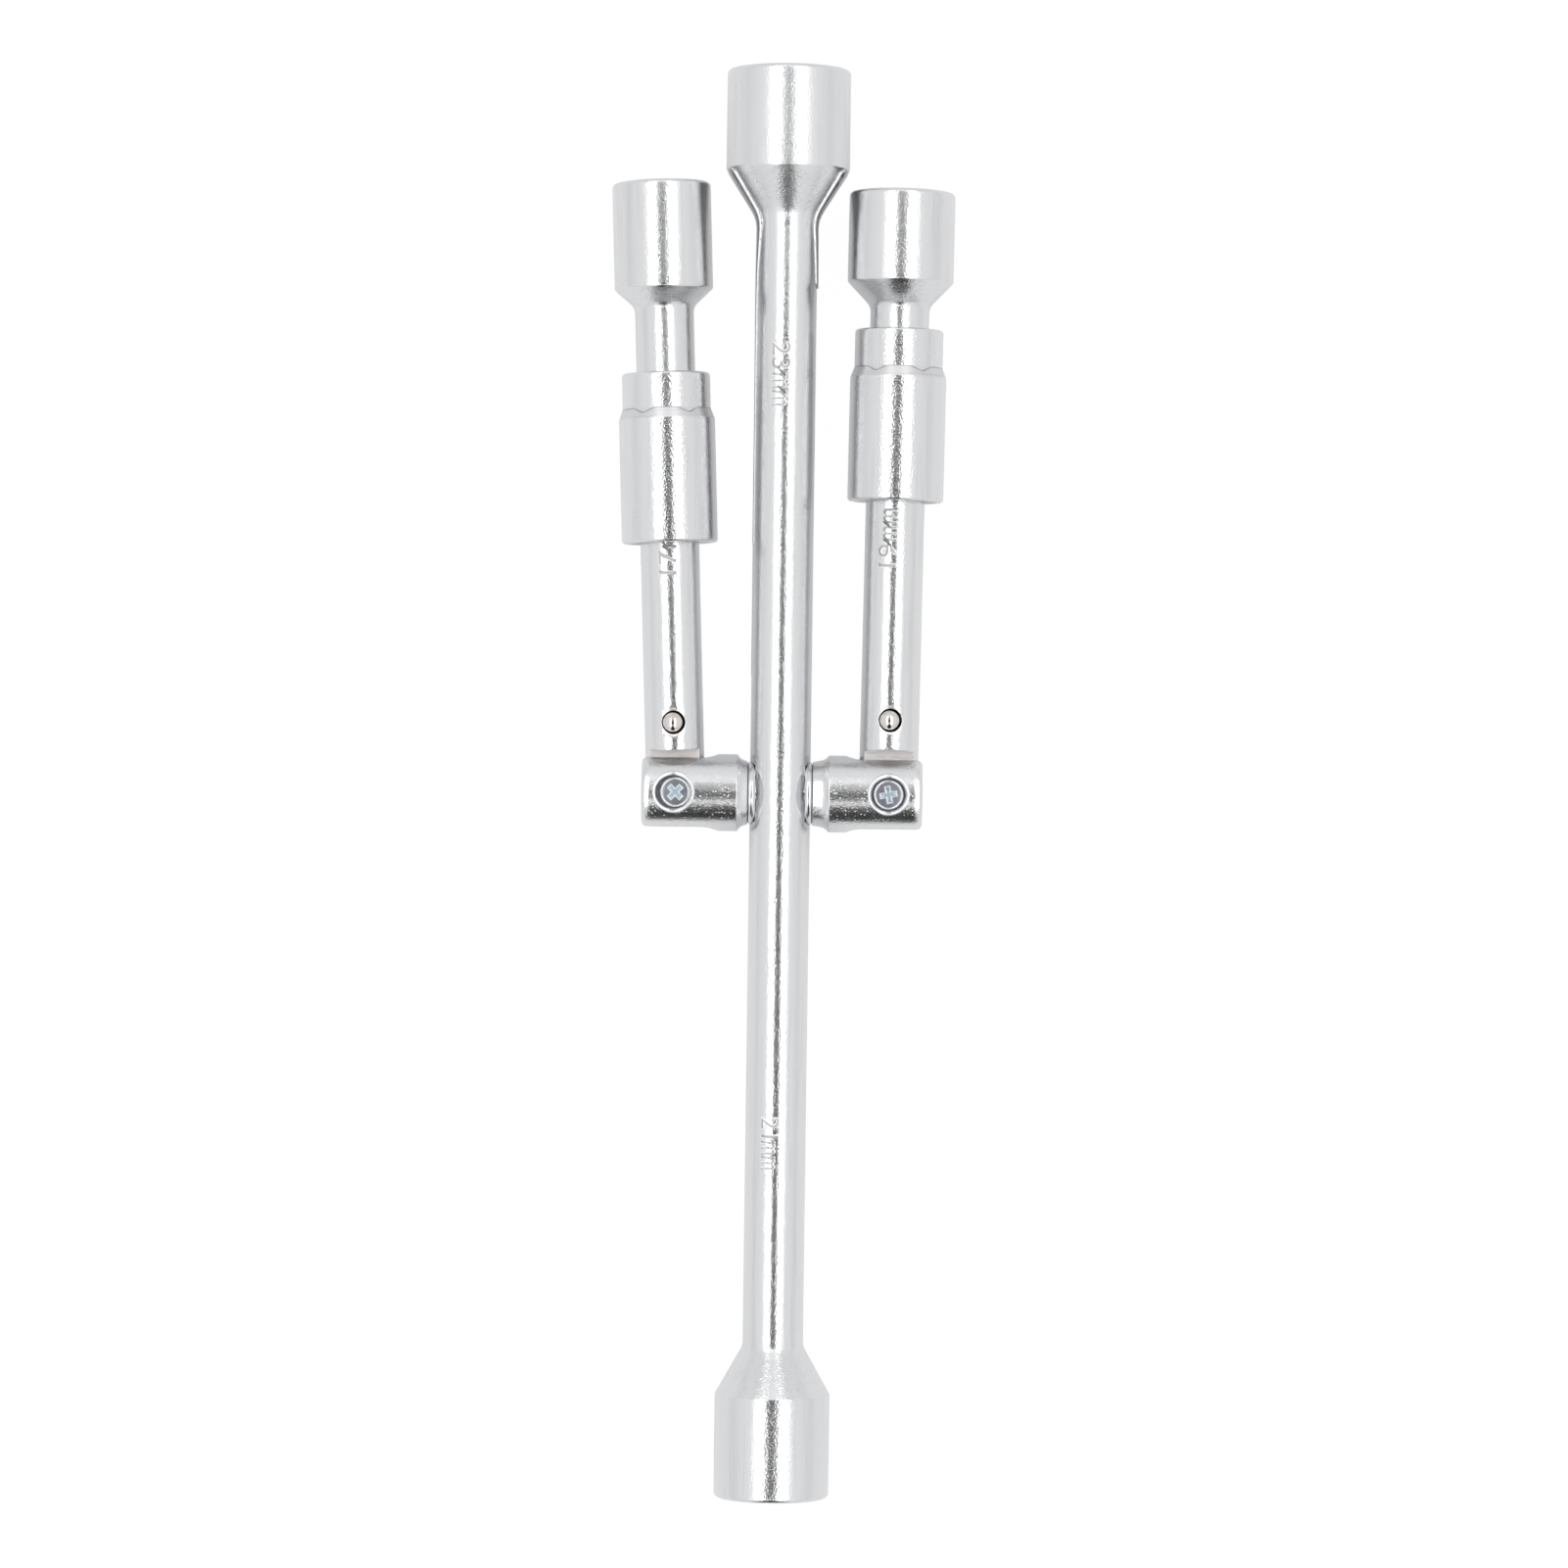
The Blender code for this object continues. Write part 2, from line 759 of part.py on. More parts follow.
def fork_corner_reach():
    """Farthest that the fork's rounded tip stands from the pivot, beside the slot."""
    radius = FORK_RADIUS - TIP_ROUNDING
    ahead = FORK_TIP - TIP_ROUNDING
    reaches = []
    for across, along in arc(radius, ahead, TIP_ROUNDING, 0, 90, BODY_STEPS):
        reaches.append(math.hypot(along, math.sqrt(across**2 - SLOT_HALF**2)))
    return max(reaches)


def lip_radius():
    """The radius of the staked opening that a ball looks out of."""
    return BALL_RADIUS * LIP_SHARE


def dish_floor():
    """Height of the staked rim round a ball, over the arm's axis."""
    return ARM_RADIUS - DISH_DEPTH


def ball_height():
    """Height of a ball's centre over the arm's axis."""
    return dish_floor() - math.sqrt((BALL_RADIUS + FIT_GAP) ** 2 - lip_radius() ** 2)


def ball_hole_floor():
    """Height of the blind hole's floor, under the arm's axis."""
    return BALL_HOLE_WALL - ARM_RADIUS


def ball_hole(name):
    """The blind hole of a ball, with its staked lip."""
    radius = BALL_RADIUS + FIT_GAP
    dish = radius + DISH_MARGIN
    outline = [
        (0, ARM_RADIUS + OVERRUN),
        (dish, ARM_RADIUS + OVERRUN),
        (dish, dish_floor()),
        (lip_radius(), dish_floor()),
        (radius, dish_floor() - LIP_DROP),
        (radius, ball_hole_floor()),
        (0, ball_hole_floor()),
    ]
    return turned(name, outline, SMALL_STEPS)


def make_arm(bench, hinge, side):
    """A folding arm: socket, neck, shaft and the tongue in the fork."""
    taper_start = side.reach - side.straight
    outline = [(0, side.reach)] + rim(side.socket_radius, side.reach)
    outline.append((side.socket_radius, taper_start))
    outline += taper(side.socket_radius, ARM_RADIUS, taper_start, side.taper, TAPER_STEPS)
    outline += arc(0, 0, ARM_RADIUS, 0, -90, NOSE_STEPS)
    arm = turned(side.name + "_arm", outline, BODY_STEPS)
    bench.part(arm, hinge, (0, 0, 0), ALONG_Y, CHROME)
    cut_socket(bench, arm, hinge, side.name + "_socket", side.flats, side.reach, ALONG_Y)
    tongue_half = SLOT_HALF - FIT_GAP
    shoulder = fork_corner_reach() + FIT_GAP
    wide = ARM_RADIUS + OVERRUN
    for name, low, high in (("upper", tongue_half, wide), ("lower", -wide, -tongue_half)):
        disc = [(0, high), (SHOULDER_RADIUS, high), (SHOULDER_RADIUS, low), (0, low)]
        mill = turned(side.name + "_tongue_" + name, disc, BODY_STEPS)
        bench.helper(mill, hinge, (0, shoulder - SHOULDER_RADIUS, 0), UPRIGHT)
        cut(arm, mill)
    hole_radius = SHANK_RADIUS + FIT_GAP
    hole_outline = [(0, wide), (hole_radius, wide), (hole_radius, -wide), (0, -wide)]
    hole = turned(side.name + "_tongue_hole", hole_outline, SMALL_STEPS)
    bench.helper(hole, hinge, (0, 0, 0), UPRIGHT)
    cut(arm, hole)
    blind = ball_hole(side.name + "_ball_hole")
    bench.helper(blind, hinge, (0, side.ball_offset, 0), UPRIGHT)
    cut(arm, blind)


def make_ball(bench, hinge, side):
    """The spring ball that stands a little out of the arm."""
    mesh = bpy.data.meshes.new(side.name + "_detent_ball")
    shape = bmesh.new()
    bmesh.ops.create_uvsphere(
        shape, u_segments=BALL_SEGMENTS, v_segments=BALL_RINGS, radius=BALL_RADIUS
    )
    shape.to_mesh(mesh)
    shape.free()
    mesh.shade_smooth()
    ball = bpy.data.objects.new(mesh.name, mesh)
    bench.part(ball, hinge, (0, side.ball_offset, ball_height()), UPRIGHT, CHROME)


def spring_points():
    """The wire's path, from the hole's floor up to the ball."""
    low = ball_hole_floor() + FIT_GAP + SPRING_WIRE_RADIUS
    apart = BALL_RADIUS + FIT_GAP + SPRING_WIRE_RADIUS
    radius = apart - 2 * SPRING_WIRE_RADIUS - SPRING_CLEARANCE
    high = ball_height() - math.sqrt(apart**2 - radius**2)
    count = SPRING_TURNS * SPRING_POINTS_PER_TURN
    points = []
    for step in range(count + 1):
        angle = 2 * math.pi * step / SPRING_POINTS_PER_TURN
        height = low + (high - low) * step / count
        points.append((radius * math.cos(angle), radius * math.sin(angle), height))
    return points


def least_gap(points):
    """The least gap between the wire and itself, a turn or more on."""
    gaps = []
    for index, point in enumerate(points):
        for other in points[index + SPRING_POINTS_PER_TURN // 2 :]:
            gaps.append(math.dist(point, other))
    return min(gaps) - 2 * SPRING_WIRE_RADIUS


def make_spring(bench, hinge, side):
    """The coil spring under a ball."""
    name = side.name + "_detent_spring"
    points = spring_points()
    print(name, "least gap in mm:", round(least_gap(points) * 1000, 3))
    curve = bpy.data.curves.new(name, "CURVE")
    curve.dimensions = "3D"
    curve.bevel_depth = SPRING_WIRE_RADIUS
    curve.bevel_resolution = 1
    curve.use_fill_caps = True
    spline = curve.splines.new("POLY")
    spline.points.add(len(points) - 1)
    for point, position in zip(spline.points, points):
        point.co = (*position, 1)
    spring = solid_of_curve(name, curve)
    bench.part(spring, hinge, (0, side.ball_offset, 0), UPRIGHT, SPRING_STEEL)


def make_sleeve(bench, hinge, side):
    """A lock sleeve: wide body, cone and collar, with a stepped bore."""
    length = side.sleeve_length
    wide_bore = FORK_RADIUS + FIT_GAP
    bore = ARM_RADIUS + SLIDE_GAP
    body = wide_bore + SLEEVE_WALL
    collar = bore + COLLAR_WALL
    depth = SLEEVE_OVERLAP + FORK_TIP + FIT_GAP
    groove = SLEEVE_OVERLAP + side.ball_offset
    groove_radius = ball_height() + BALL_RADIUS + FIT_GAP
    rounding = SLEEVE_ROUNDING
    outline = arc(collar - rounding, length - rounding, rounding, 90, 0, ARC_STEPS)
    outline.append((collar, SLEEVE_BODY_LENGTH + SLEEVE_CONE_LENGTH))
    outline.append((body, SLEEVE_BODY_LENGTH))
    outline += arc(body - rounding, rounding, rounding, 0, -90, ARC_STEPS)
    outline += [
        (wide_bore + SLEEVE_CHAMFER, 0),
        (wide_bore, SLEEVE_CHAMFER),
        (wide_bore, depth),
        (bore, depth),
        (bore, groove - GROOVE_HALF_WIDTH),
        (groove_radius, groove),
        (bore, groove + GROOVE_HALF_WIDTH),
        (bore, length - SLEEVE_CHAMFER),
        (bore + SLEEVE_CHAMFER, length),
    ]
    sleeve = turned(side.name + "_lock_sleeve", outline, BODY_STEPS, ring=True)
    bench.part(sleeve, hinge, (0, side.sleeve_rest, 0), ALONG_Y, CHROME)


def side_extent(side):
    """How far an arm's socket reaches sideways from the bar's axis."""
    along = (side.reach - RIM_ROUNDING) * math.sin(side.splay)
    across = (side.socket_radius - RIM_ROUNDING) * math.cos(side.splay)
    return side.pivot + along + across + RIM_ROUNDING


def cross_centre():
    """Where the bar's cross centre lies, seen from the object's base middle."""
    x = (side_extent(LEFT) - side_extent(RIGHT)) / 2
    y = (bar_bottom() - bar_top()) / 2
    top_radius = socket_radius(TOP_SOCKET_FLATS, TOP_SOCKET_WALL)
    bottom_radius = socket_radius(BOTTOM_SOCKET_FLATS, BOTTOM_SOCKET_WALL)
    return (x, y, max(top_radius, bottom_radius))


def main():
    clear_scene()
    bench = Bench()
    centre = bench.empty("cross_centre", None, cross_centre(), UPRIGHT)
    make_bar(bench, centre)
    for side in (LEFT, RIGHT):
        make_ring(bench, centre, side)
        make_knuckle(bench, centre, side)
        make_screw(bench, centre, side)
        make_washers(bench, centre, side)
        make_nut(bench, centre, side)
        turn = (0, 0, -side.sign * side.splay)
        hinge = bench.empty(side.name + "_hinge", centre, side.pivot_point, turn)
        make_arm(bench, hinge, side)
        make_ball(bench, hinge, side)
        make_spring(bench, hinge, side)
        make_sleeve(bench, hinge, side)


main()
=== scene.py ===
"""Folding cross lug wrench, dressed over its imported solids.

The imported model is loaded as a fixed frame. Every piece that shows is built
again here at its full fineness, stands for its own solid and rides with it.
Lengths are metres. +Y runs along the main bar towards its large socket, +X to
the right arm and +Z up, out of the screw heads.
"""

import logging
import math
from collections.abc import Callable, Sequence
from dataclasses import astuple, dataclass
from enum import Enum
from functools import cache, cached_property

import bpy
from mathutils import Matrix, Quaternion, Vector

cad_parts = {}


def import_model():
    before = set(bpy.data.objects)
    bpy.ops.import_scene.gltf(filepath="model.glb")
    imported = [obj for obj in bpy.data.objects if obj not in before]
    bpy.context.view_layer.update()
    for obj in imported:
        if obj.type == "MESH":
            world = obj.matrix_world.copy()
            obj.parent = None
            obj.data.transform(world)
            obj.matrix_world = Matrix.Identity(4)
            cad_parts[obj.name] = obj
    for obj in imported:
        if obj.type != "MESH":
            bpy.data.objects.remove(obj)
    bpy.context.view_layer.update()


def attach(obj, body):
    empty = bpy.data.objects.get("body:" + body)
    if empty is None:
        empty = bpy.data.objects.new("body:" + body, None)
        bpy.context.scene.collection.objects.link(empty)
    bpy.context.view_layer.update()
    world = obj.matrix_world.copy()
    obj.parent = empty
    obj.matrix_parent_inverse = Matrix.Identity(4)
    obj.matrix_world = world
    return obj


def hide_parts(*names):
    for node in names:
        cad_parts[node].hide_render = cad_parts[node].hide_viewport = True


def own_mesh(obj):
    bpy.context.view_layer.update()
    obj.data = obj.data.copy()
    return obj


LOG = logging.getLogger("wrench")
MERGE = 1e-6
OVERRUN = 0.002
X, Y, Z = Vector((1, 0, 0)), Vector((0, 1, 0)), Vector((0, 0, 1))
DOWN_BAR = Vector((0, -1, 0))
Piece = bpy.types.Object
Coat = bpy.types.Material
Socket = bpy.types.NodeSocket
Point = tuple[float, float]
Colour = tuple[float, float, float]


class Join(Enum):
    """What one shape does to another."""

    CUT = "DIFFERENCE"
    ADD = "UNION"
    KEEP = "INTERSECT"


class Slot(Enum):
    """Material slot names."""

    BAR = "bar_chrome"
    ARM = "arm_chrome"
    SLEEVE = "sleeve_chrome"
    KNUCKLE = "knuckle_chrome"
    RING = "ring_chrome"
    SCREW = "screw_zinc"
    NUT = "nut_zinc"
    BALL = "ball_steel"
    SPRING = "spring_steel"


class Hand(Enum):
    """The side of the main bar that a hinge stands on."""

    LEFT = -1
    RIGHT = 1

    @property
    def word(self) -> str:
        """The side's name, as the solids use it."""
        return self.name.lower()


# Drawing lines and outlines


@dataclass(frozen=True)
class Line:
    """A centre line, with the direction that outlines are drawn across it."""

    origin: Vector
    along: Vector
    across: Vector

    def at(self, across: float, along: float) -> Vector:
        """The point of an outline in space."""
        return self.origin + self.across * across + self.along * along

    def moved(self, by: Vector) -> "Line":
        """The same line from another start."""
        return Line(self.origin + by, self.along, self.across)


@dataclass(frozen=True)
class Corner:
    """A corner of an outline, rounded where it has a rounding."""

    across: float
    along: float
    rounding: float = 0.0

    @property
    def flat(self) -> Vector:
        """The corner in the outline's own plane."""
        return Vector((self.across, self.along))


def arc_between(before: Corner, corner: Corner, after: Corner, step: float = 6.0) -> list[Point]:
    """Rounds one corner.

    Args:
        before: The corner that the outline comes from.
        corner: The corner to round.
        after: The corner that the outline goes to.
        step: The largest turn between two points, in degrees.

    Returns:
        The points of the arc, or the corner itself where it is sharp.
    """
    back = (before.flat - corner.flat).normalized()
    ahead = (after.flat - corner.flat).normalized()
    turn = math.pi - back.angle(ahead)
    if not corner.rounding or turn < math.radians(0.5):
        return [(corner.across, corner.along)]
    middle = corner.flat + (back + ahead).normalized() * corner.rounding / math.cos(turn / 2)
    spoke = corner.flat + back * corner.rounding * math.tan(turn / 2) - middle
    sense = 1 if back.x * ahead.y - back.y * ahead.x < 0 else -1
    count = max(2, math.ceil(math.degrees(turn) / step))
    points = []
    for index in range(count + 1):
        angle = sense * turn * index / count
        x = middle.x + spoke.x * math.cos(angle) - spoke.y * math.sin(angle)
        y = middle.y + spoke.x * math.sin(angle) + spoke.y * math.cos(angle)
        points.append((x, y))
    return points


def outline_of(corners: Sequence[Corner], longest: float) -> list[Point]:
    """Turns corners into an open outline's points, close enough together for a clean shine.

    Args:
        corners: The outline's corners in order.
        longest: The longest stretch that stays in one piece.

    Returns:
        The points.
    """
    points = [(corners[0].across, corners[0].along)]
    for before, corner, after in zip(corners, corners[1:], corners[2:]):
        points += arc_between(before, corner, after)
    points.append((corners[-1].across, corners[-1].along))
    fine = [points[0]]
    for start, end in zip(points, points[1:]):
        pieces = max(1, math.ceil(math.dist(start, end) / longest))
        for index in range(1, pieces + 1):
            share = index / pieces
            fine.append(tuple(a + (b - a) * share for a, b in zip(start, end)))
    return fine


def rod(radius: float, start: float, end: float) -> list[Point]:
    """The outline of a plain round bar."""
    return [(0, start), (radius, start), (radius, end), (0, end)]


def ring(inner: float, outer: float, low: float, high: float, rounding: float) -> list[Point]:
    """The closed outline of a flat ring with rounded outer edges."""
    outside = [Corner(outer, high, rounding), Corner(outer, low, rounding)]
    return outline_of([Corner(inner, high), *outside, Corner(inner, low), Corner(inner, high)], 0.002)


# Work at the bench: selecting, turning, milling


def pick(*objects: Piece) -> Piece:
    """Selects these objects alone.

    Args:
        objects: What to select; the first becomes the active one.

    Returns:
        The active object.
    """
    bpy.ops.object.select_all(action="DESELECT")
    for obj in objects:
        obj.select_set(True)
    bpy.context.view_layer.objects.active = objects[0]
    return objects[0]


def edit(mode: str = "FACE") -> None:
    """Opens the active mesh with all of it selected."""
    bpy.ops.object.mode_set(mode="EDIT")
    bpy.ops.mesh.select_mode(type=mode)
    bpy.ops.mesh.select_all(action="SELECT")


def close() -> None:
    """Goes back to whole objects."""
    bpy.ops.object.mode_set(mode="OBJECT")


def face_out() -> None:
    """Turns the open mesh's faces outwards and closes it."""
    bpy.ops.mesh.select_all(action="SELECT")
    bpy.ops.mesh.normals_make_consistent(inside=False)
    close()


def clean() -> None:
    """Merges the open mesh's doubles, turns its faces outwards and closes it."""
    bpy.ops.mesh.select_all(action="SELECT")
    bpy.ops.mesh.remove_doubles(threshold=MERGE)
    face_out()


def choose(piece: Piece, test: Callable[..., bool], mode: str = "FACE") -> None:
    """Opens a mesh with some of it selected.

    Args:
        piece: The mesh's object.
        test: Takes a face, or a vertex in that mode, and says whether it is selected.
        mode: FACE or VERT.
    """
    pick(piece)
    edit(mode)
    bpy.ops.mesh.select_all(action="DESELECT")
    close()
    for item in piece.data.vertices if mode == "VERT" else piece.data.polygons:
        if test(item):
            item.select = True
    bpy.ops.object.mode_set(mode="EDIT")


def fresh(name: str, add: Callable[..., set[str]], **settings: object) -> Piece:
    """Adds an object, with nothing else selected.

    Args:
        name: The object's name.
        add: The operator that adds it.
        settings: What the operator is told.

    Returns:
        The new object.
    """
    bpy.ops.object.select_all(action="DESELECT")
    add(**settings)
    obj = bpy.context.object
    obj.name = obj.data.name = name
    return obj


def settle(obj: Piece) -> Piece:
    """Moves an object's place into its mesh."""
    pick(obj)
    bpy.ops.object.transform_apply(location=True, rotation=True, scale=True)
    return obj


def swing(obj: Piece, angle: float, about: Vector) -> Piece:
    """Turns a mesh about the vertical through a point, clockwise from above."""
    pick(obj)
    edit()
    bpy.ops.transform.rotate(value=angle, orient_axis="Z", center_override=about)
    close()
    return obj


def slide(obj: Piece, move: Vector) -> Piece:
    """Moves a mesh inside its object."""
    pick(obj)
    edit()
    bpy.ops.transform.translate(value=move)
    close()
    return obj


def turned(name: str, outline: Sequence[Point], line: Line, steps: int) -> Piece:
    """Turns an outline about a centre line, as on a lathe.

    Args:
        name: The piece's name.
        outline: Points across and along the line, in order.
        line: The centre line.
        steps: How many flats make the full turn.

    Returns:
        The turned piece, closed if the outline ends on the line or on itself.
    """
    obj = fresh(name, bpy.ops.mesh.primitive_plane_add, size=0.001)
    edit("VERT")
    bpy.ops.mesh.merge(type="CENTER")
    points = [line.at(*point) for point in outline]
    bpy.ops.transform.translate(value=points[0])
    for start, end in zip(points, points[1:]):
        bpy.ops.mesh.extrude_vertices_move(TRANSFORM_OT_translate={"value": end - start})
    bpy.ops.mesh.select_all(action="SELECT")
    bpy.ops.mesh.spin(steps=steps, angle=math.tau, center=line.origin, axis=line.along)
    clean()
    return obj


def prism(name: str, line: Line, flats: float, low: float, high: float) -> Piece:
    """A hexagonal bar along a line, with two flats level.

    Args:
        name: The shape's name.
        line: The line that it lies along.
        flats: Its width across flats.
        low: Where it starts on the line.
        high: Where it ends.

    Returns:
        The hexagonal bar.
    """
    size = {"radius": flats / math.sqrt(3), "depth": high - low}
    obj = fresh(name, bpy.ops.mesh.primitive_cylinder_add, vertices=6, **size)
    swing(obj, math.radians(30), Vector())
    axes = Matrix((line.across, line.along.cross(line.across), line.along))
    obj.rotation_euler = axes.transposed().to_euler()
    obj.location = line.at(0, (low + high) / 2)
    return settle(obj)


def slab(name: str, middle: Vector, size: Sequence[float]) -> Piece:
    """A block for cutting."""
    obj = fresh(name, bpy.ops.mesh.primitive_cube_add, size=1, location=middle)
    bpy.ops.transform.resize(value=size)
    return settle(obj)


def join(piece: Piece, tool: Piece, how: Join = Join.CUT) -> None:
    """Cuts, adds or keeps with a tool, and takes the tool away.

    Args:
        piece: The piece that is worked on.
        tool: The other shape.
        how: What the tool does.
    """
    pick(piece)
    bpy.ops.object.modifier_add(type="BOOLEAN")
    modifier = piece.modifiers[-1]
    modifier.operation = how.value
    modifier.solver = "EXACT"
    modifier.object = tool
    bpy.ops.object.modifier_apply(modifier=modifier.name)
    bpy.data.objects.remove(tool, do_unlink=True)


def bore(piece: Piece, outline: Sequence[Point], line: Line, steps: int) -> None:
    """Cuts a turned shape out of a piece."""
    join(piece, turned("cutter", outline, line, steps))


def let_down(sheet: Piece, piece: Piece, sunk: float) -> None:
    """Lets the active sheet or loop down onto a piece, sunk into it a little."""
    bpy.ops.object.modifier_add(type="SHRINKWRAP")
    wrap = sheet.modifiers[-1]
    wrap.target = piece
    wrap.wrap_method = "PROJECT"
    wrap.use_project_z = wrap.use_negative_direction = True
    wrap.use_positive_direction = False
    wrap.offset = -sunk
    bpy.ops.object.modifier_apply(modifier=wrap.name)


def polish(piece: Piece, degrees: float = 28.0) -> None:
    """Cleans a finished mesh and smooths all but its real edges."""
    pick(piece)
    edit()
    clean()
    bpy.ops.object.shade_smooth_by_angle(angle=math.radians(degrees))


def copy_of(piece: Piece, name: str, move: Vector, turn: float, about: Vector) -> Piece:
    """A copy with its own mesh, turned about the vertical and then moved.

    Args:
        piece: The piece that was modelled.
        name: The copy's name.
        move: How far the copy moves.
        turn: Its turn about +Z, in radians.
        about: The point that it turns about.

    Returns:
        The copy, with its place in its mesh.
    """
    pick(piece)
    bpy.ops.object.duplicate(linked=False)
    other = bpy.context.object
    other.name = other.data.name = name
    if turn:
        swing(other, -turn, about)
    return slide(other, move)


def assign_last(piece: Piece, coat: Coat) -> None:
    """Gives the selected faces of the open mesh a finish of their own."""
    piece.data.materials.append(coat)
    piece.active_material_index = len(piece.data.materials) - 1
    bpy.ops.object.material_slot_assign()
    close()


# Finishes


@dataclass
class Sheet:
    """A node tree that is being laid out."""

    tree: bpy.types.NodeTree

    @classmethod
    def blank(cls, owner: Coat | bpy.types.World) -> "Sheet":
        """The emptied tree of a material or world."""
        owner.use_nodes = True
        owner.node_tree.nodes.clear()
        return cls(owner.node_tree)

    def add(self, kind: str, *values: object, **settings: object) -> bpy.types.Node:
        """Adds a node.

        Args:
            kind: The node's type.
            values: What its inputs take, in order.
            settings: Its own settings; a name that is one of its inputs, with
                spaces written as underscores, sets that input.

        Returns:
            The node.
        """
        node = self.tree.nodes.new(kind)
        for key, value in settings.items():
            if hasattr(node, key):
                setattr(node, key, value)
            else:
                self.feed(node.inputs[key.replace("_", " ")], value)
        for socket, value in zip(node.inputs, values):
            self.feed(socket, value)
        return node

    def feed(self, socket: Socket, value: object) -> None:
        """Links a socket to an output, or sets it to a value."""
        if isinstance(value, Socket):
            self.tree.links.new(value, socket)
        else:
            socket.default_value = value

    def math(self, how: str, first: object, second: object) -> Socket:
        """One step of arithmetic with values or outputs."""
        return self.add("ShaderNodeMath", first, second, operation=how).outputs[0]

    def times(self, first: object, second: object) -> Socket:
        """One value or output times another."""
        return self.math("MULTIPLY", first, second)

    def ramp(self, value: object, low: float, high: float, start: object = 0.0, end: object = 1.0) -> object:
        """Maps a range smoothly to another.

        Args:
            value: The value's socket.
            low: Where the range starts.
            high: Where it ends.
            start: The result at its start.
            end: The result at its end.

        Returns:
            The result's socket.
        """
        bounds = (value, low, high, start, end)
        return self.add("ShaderNodeMapRange", *bounds, interpolation_type="SMOOTHSTEP").outputs["Result"]

    def noise(self, vector: object, scale: float, detail: float) -> Socket:
        """The value of a cloudy pattern."""
        return self.add("ShaderNodeTexNoise", Vector=vector, Scale=scale, Detail=detail).outputs["Fac"]

    def place(self) -> Socket:
        """Object coordinates."""
        return self.add("ShaderNodeTexCoord").outputs["Object"]

    def part(self, vector: object, axis: str) -> Socket:
        """One coordinate of a vector."""
        return self.add("ShaderNodeSeparateXYZ", vector).outputs[axis]

    def mix(self, share: object, first: bpy.types.Node, second: bpy.types.Node) -> bpy.types.Node:
        """A shader between two others."""
        return self.add("ShaderNodeMixShader", share, first.outputs[0], second.outputs[0])

    def give(self, **results: Socket) -> bpy.types.NodeTree:
        """Ends a shared effect with its outputs."""
        for label, socket in results.items():
            kind = "NodeSocketVector" if socket.type == "VECTOR" else "NodeSocketFloat"
            self.tree.interface.new_socket(label, in_out="OUTPUT", socket_type=kind)
        self.add("NodeGroupOutput", *results.values())
        return self.tree


def new_effect(name: str, **inputs: float | None) -> tuple[Sheet, bpy.types.NodeOutputs]:
    """Starts a shared effect.

    Args:
        name: The effect's name.
        inputs: Each input with its usual value, or None for coordinates.

    Returns:
        The sheet and what its inputs give.
    """
    tree = bpy.data.node_groups.new(name, "ShaderNodeTree")
    for label, value in inputs.items():
        kind = "NodeSocketVector" if value is None else "NodeSocketFloat"
        socket = tree.interface.new_socket(label, in_out="INPUT", socket_type=kind)
        if value is not None:
            socket.default_value = value
    sheet = Sheet(tree)
    return sheet, sheet.add("NodeGroupInput").outputs


@cache
def plated_relief() -> bpy.types.NodeTree:
    """Waves, grain and pits of plated steel, as heights in millimetres."""
    sheet, given = new_effect("plated_relief", Vector=None, Wave=0.05, Grain=0.02, Pit=0.02, Pitted=0.2)
    place = given["Vector"]
    cells = sheet.add("ShaderNodeTexVoronoi", Vector=place, Scale=1300.0, Randomness=0.6)
    dimple = sheet.ramp(cells.outputs["Distance"], 0.05, 0.26, 1.0, 0.0)
    chance = sheet.add("ShaderNodeSeparateColor", cells.outputs["Color"]).outputs["Red"]
    patches = sheet.ramp(sheet.noise(place, 260.0, 2.0), 0.3, 0.7)
    share = sheet.times(patches, sheet.times(given["Pitted"], 2.0))
    pits = sheet.times(dimple, sheet.math("LESS_THAN", chance, share))
    rolling = sheet.times(sheet.noise(place, 330.0, 1.0), given["Wave"])
    fine = sheet.times(sheet.noise(place, 2100.0, 1.0), given["Grain"])
    high = sheet.math("ADD", rolling, fine)
    return sheet.give(Height=sheet.math("SUBTRACT", high, sheet.times(pits, given["Pit"])), Pits=pits)


@cache
def fine_streaks() -> bpy.types.NodeTree:
    """Fine lines drawn along one direction, as a mask."""
    sheet, given = new_effect("fine_streaks", Vector=None)
    return sheet.give(Mask=sheet.ramp(sheet.noise(given["Vector"], 900.0, 3.0), 0.54, 0.66))


@cache
def soft_edges() -> bpy.types.NodeTree:
    """Softened edges, as a rounded normal."""
    sheet, given = new_effect("soft_edges", Radius=0.0002)
    return sheet.give(Normal=sheet.add("ShaderNodeBevel", given["Radius"], samples=4).outputs["Normal"])


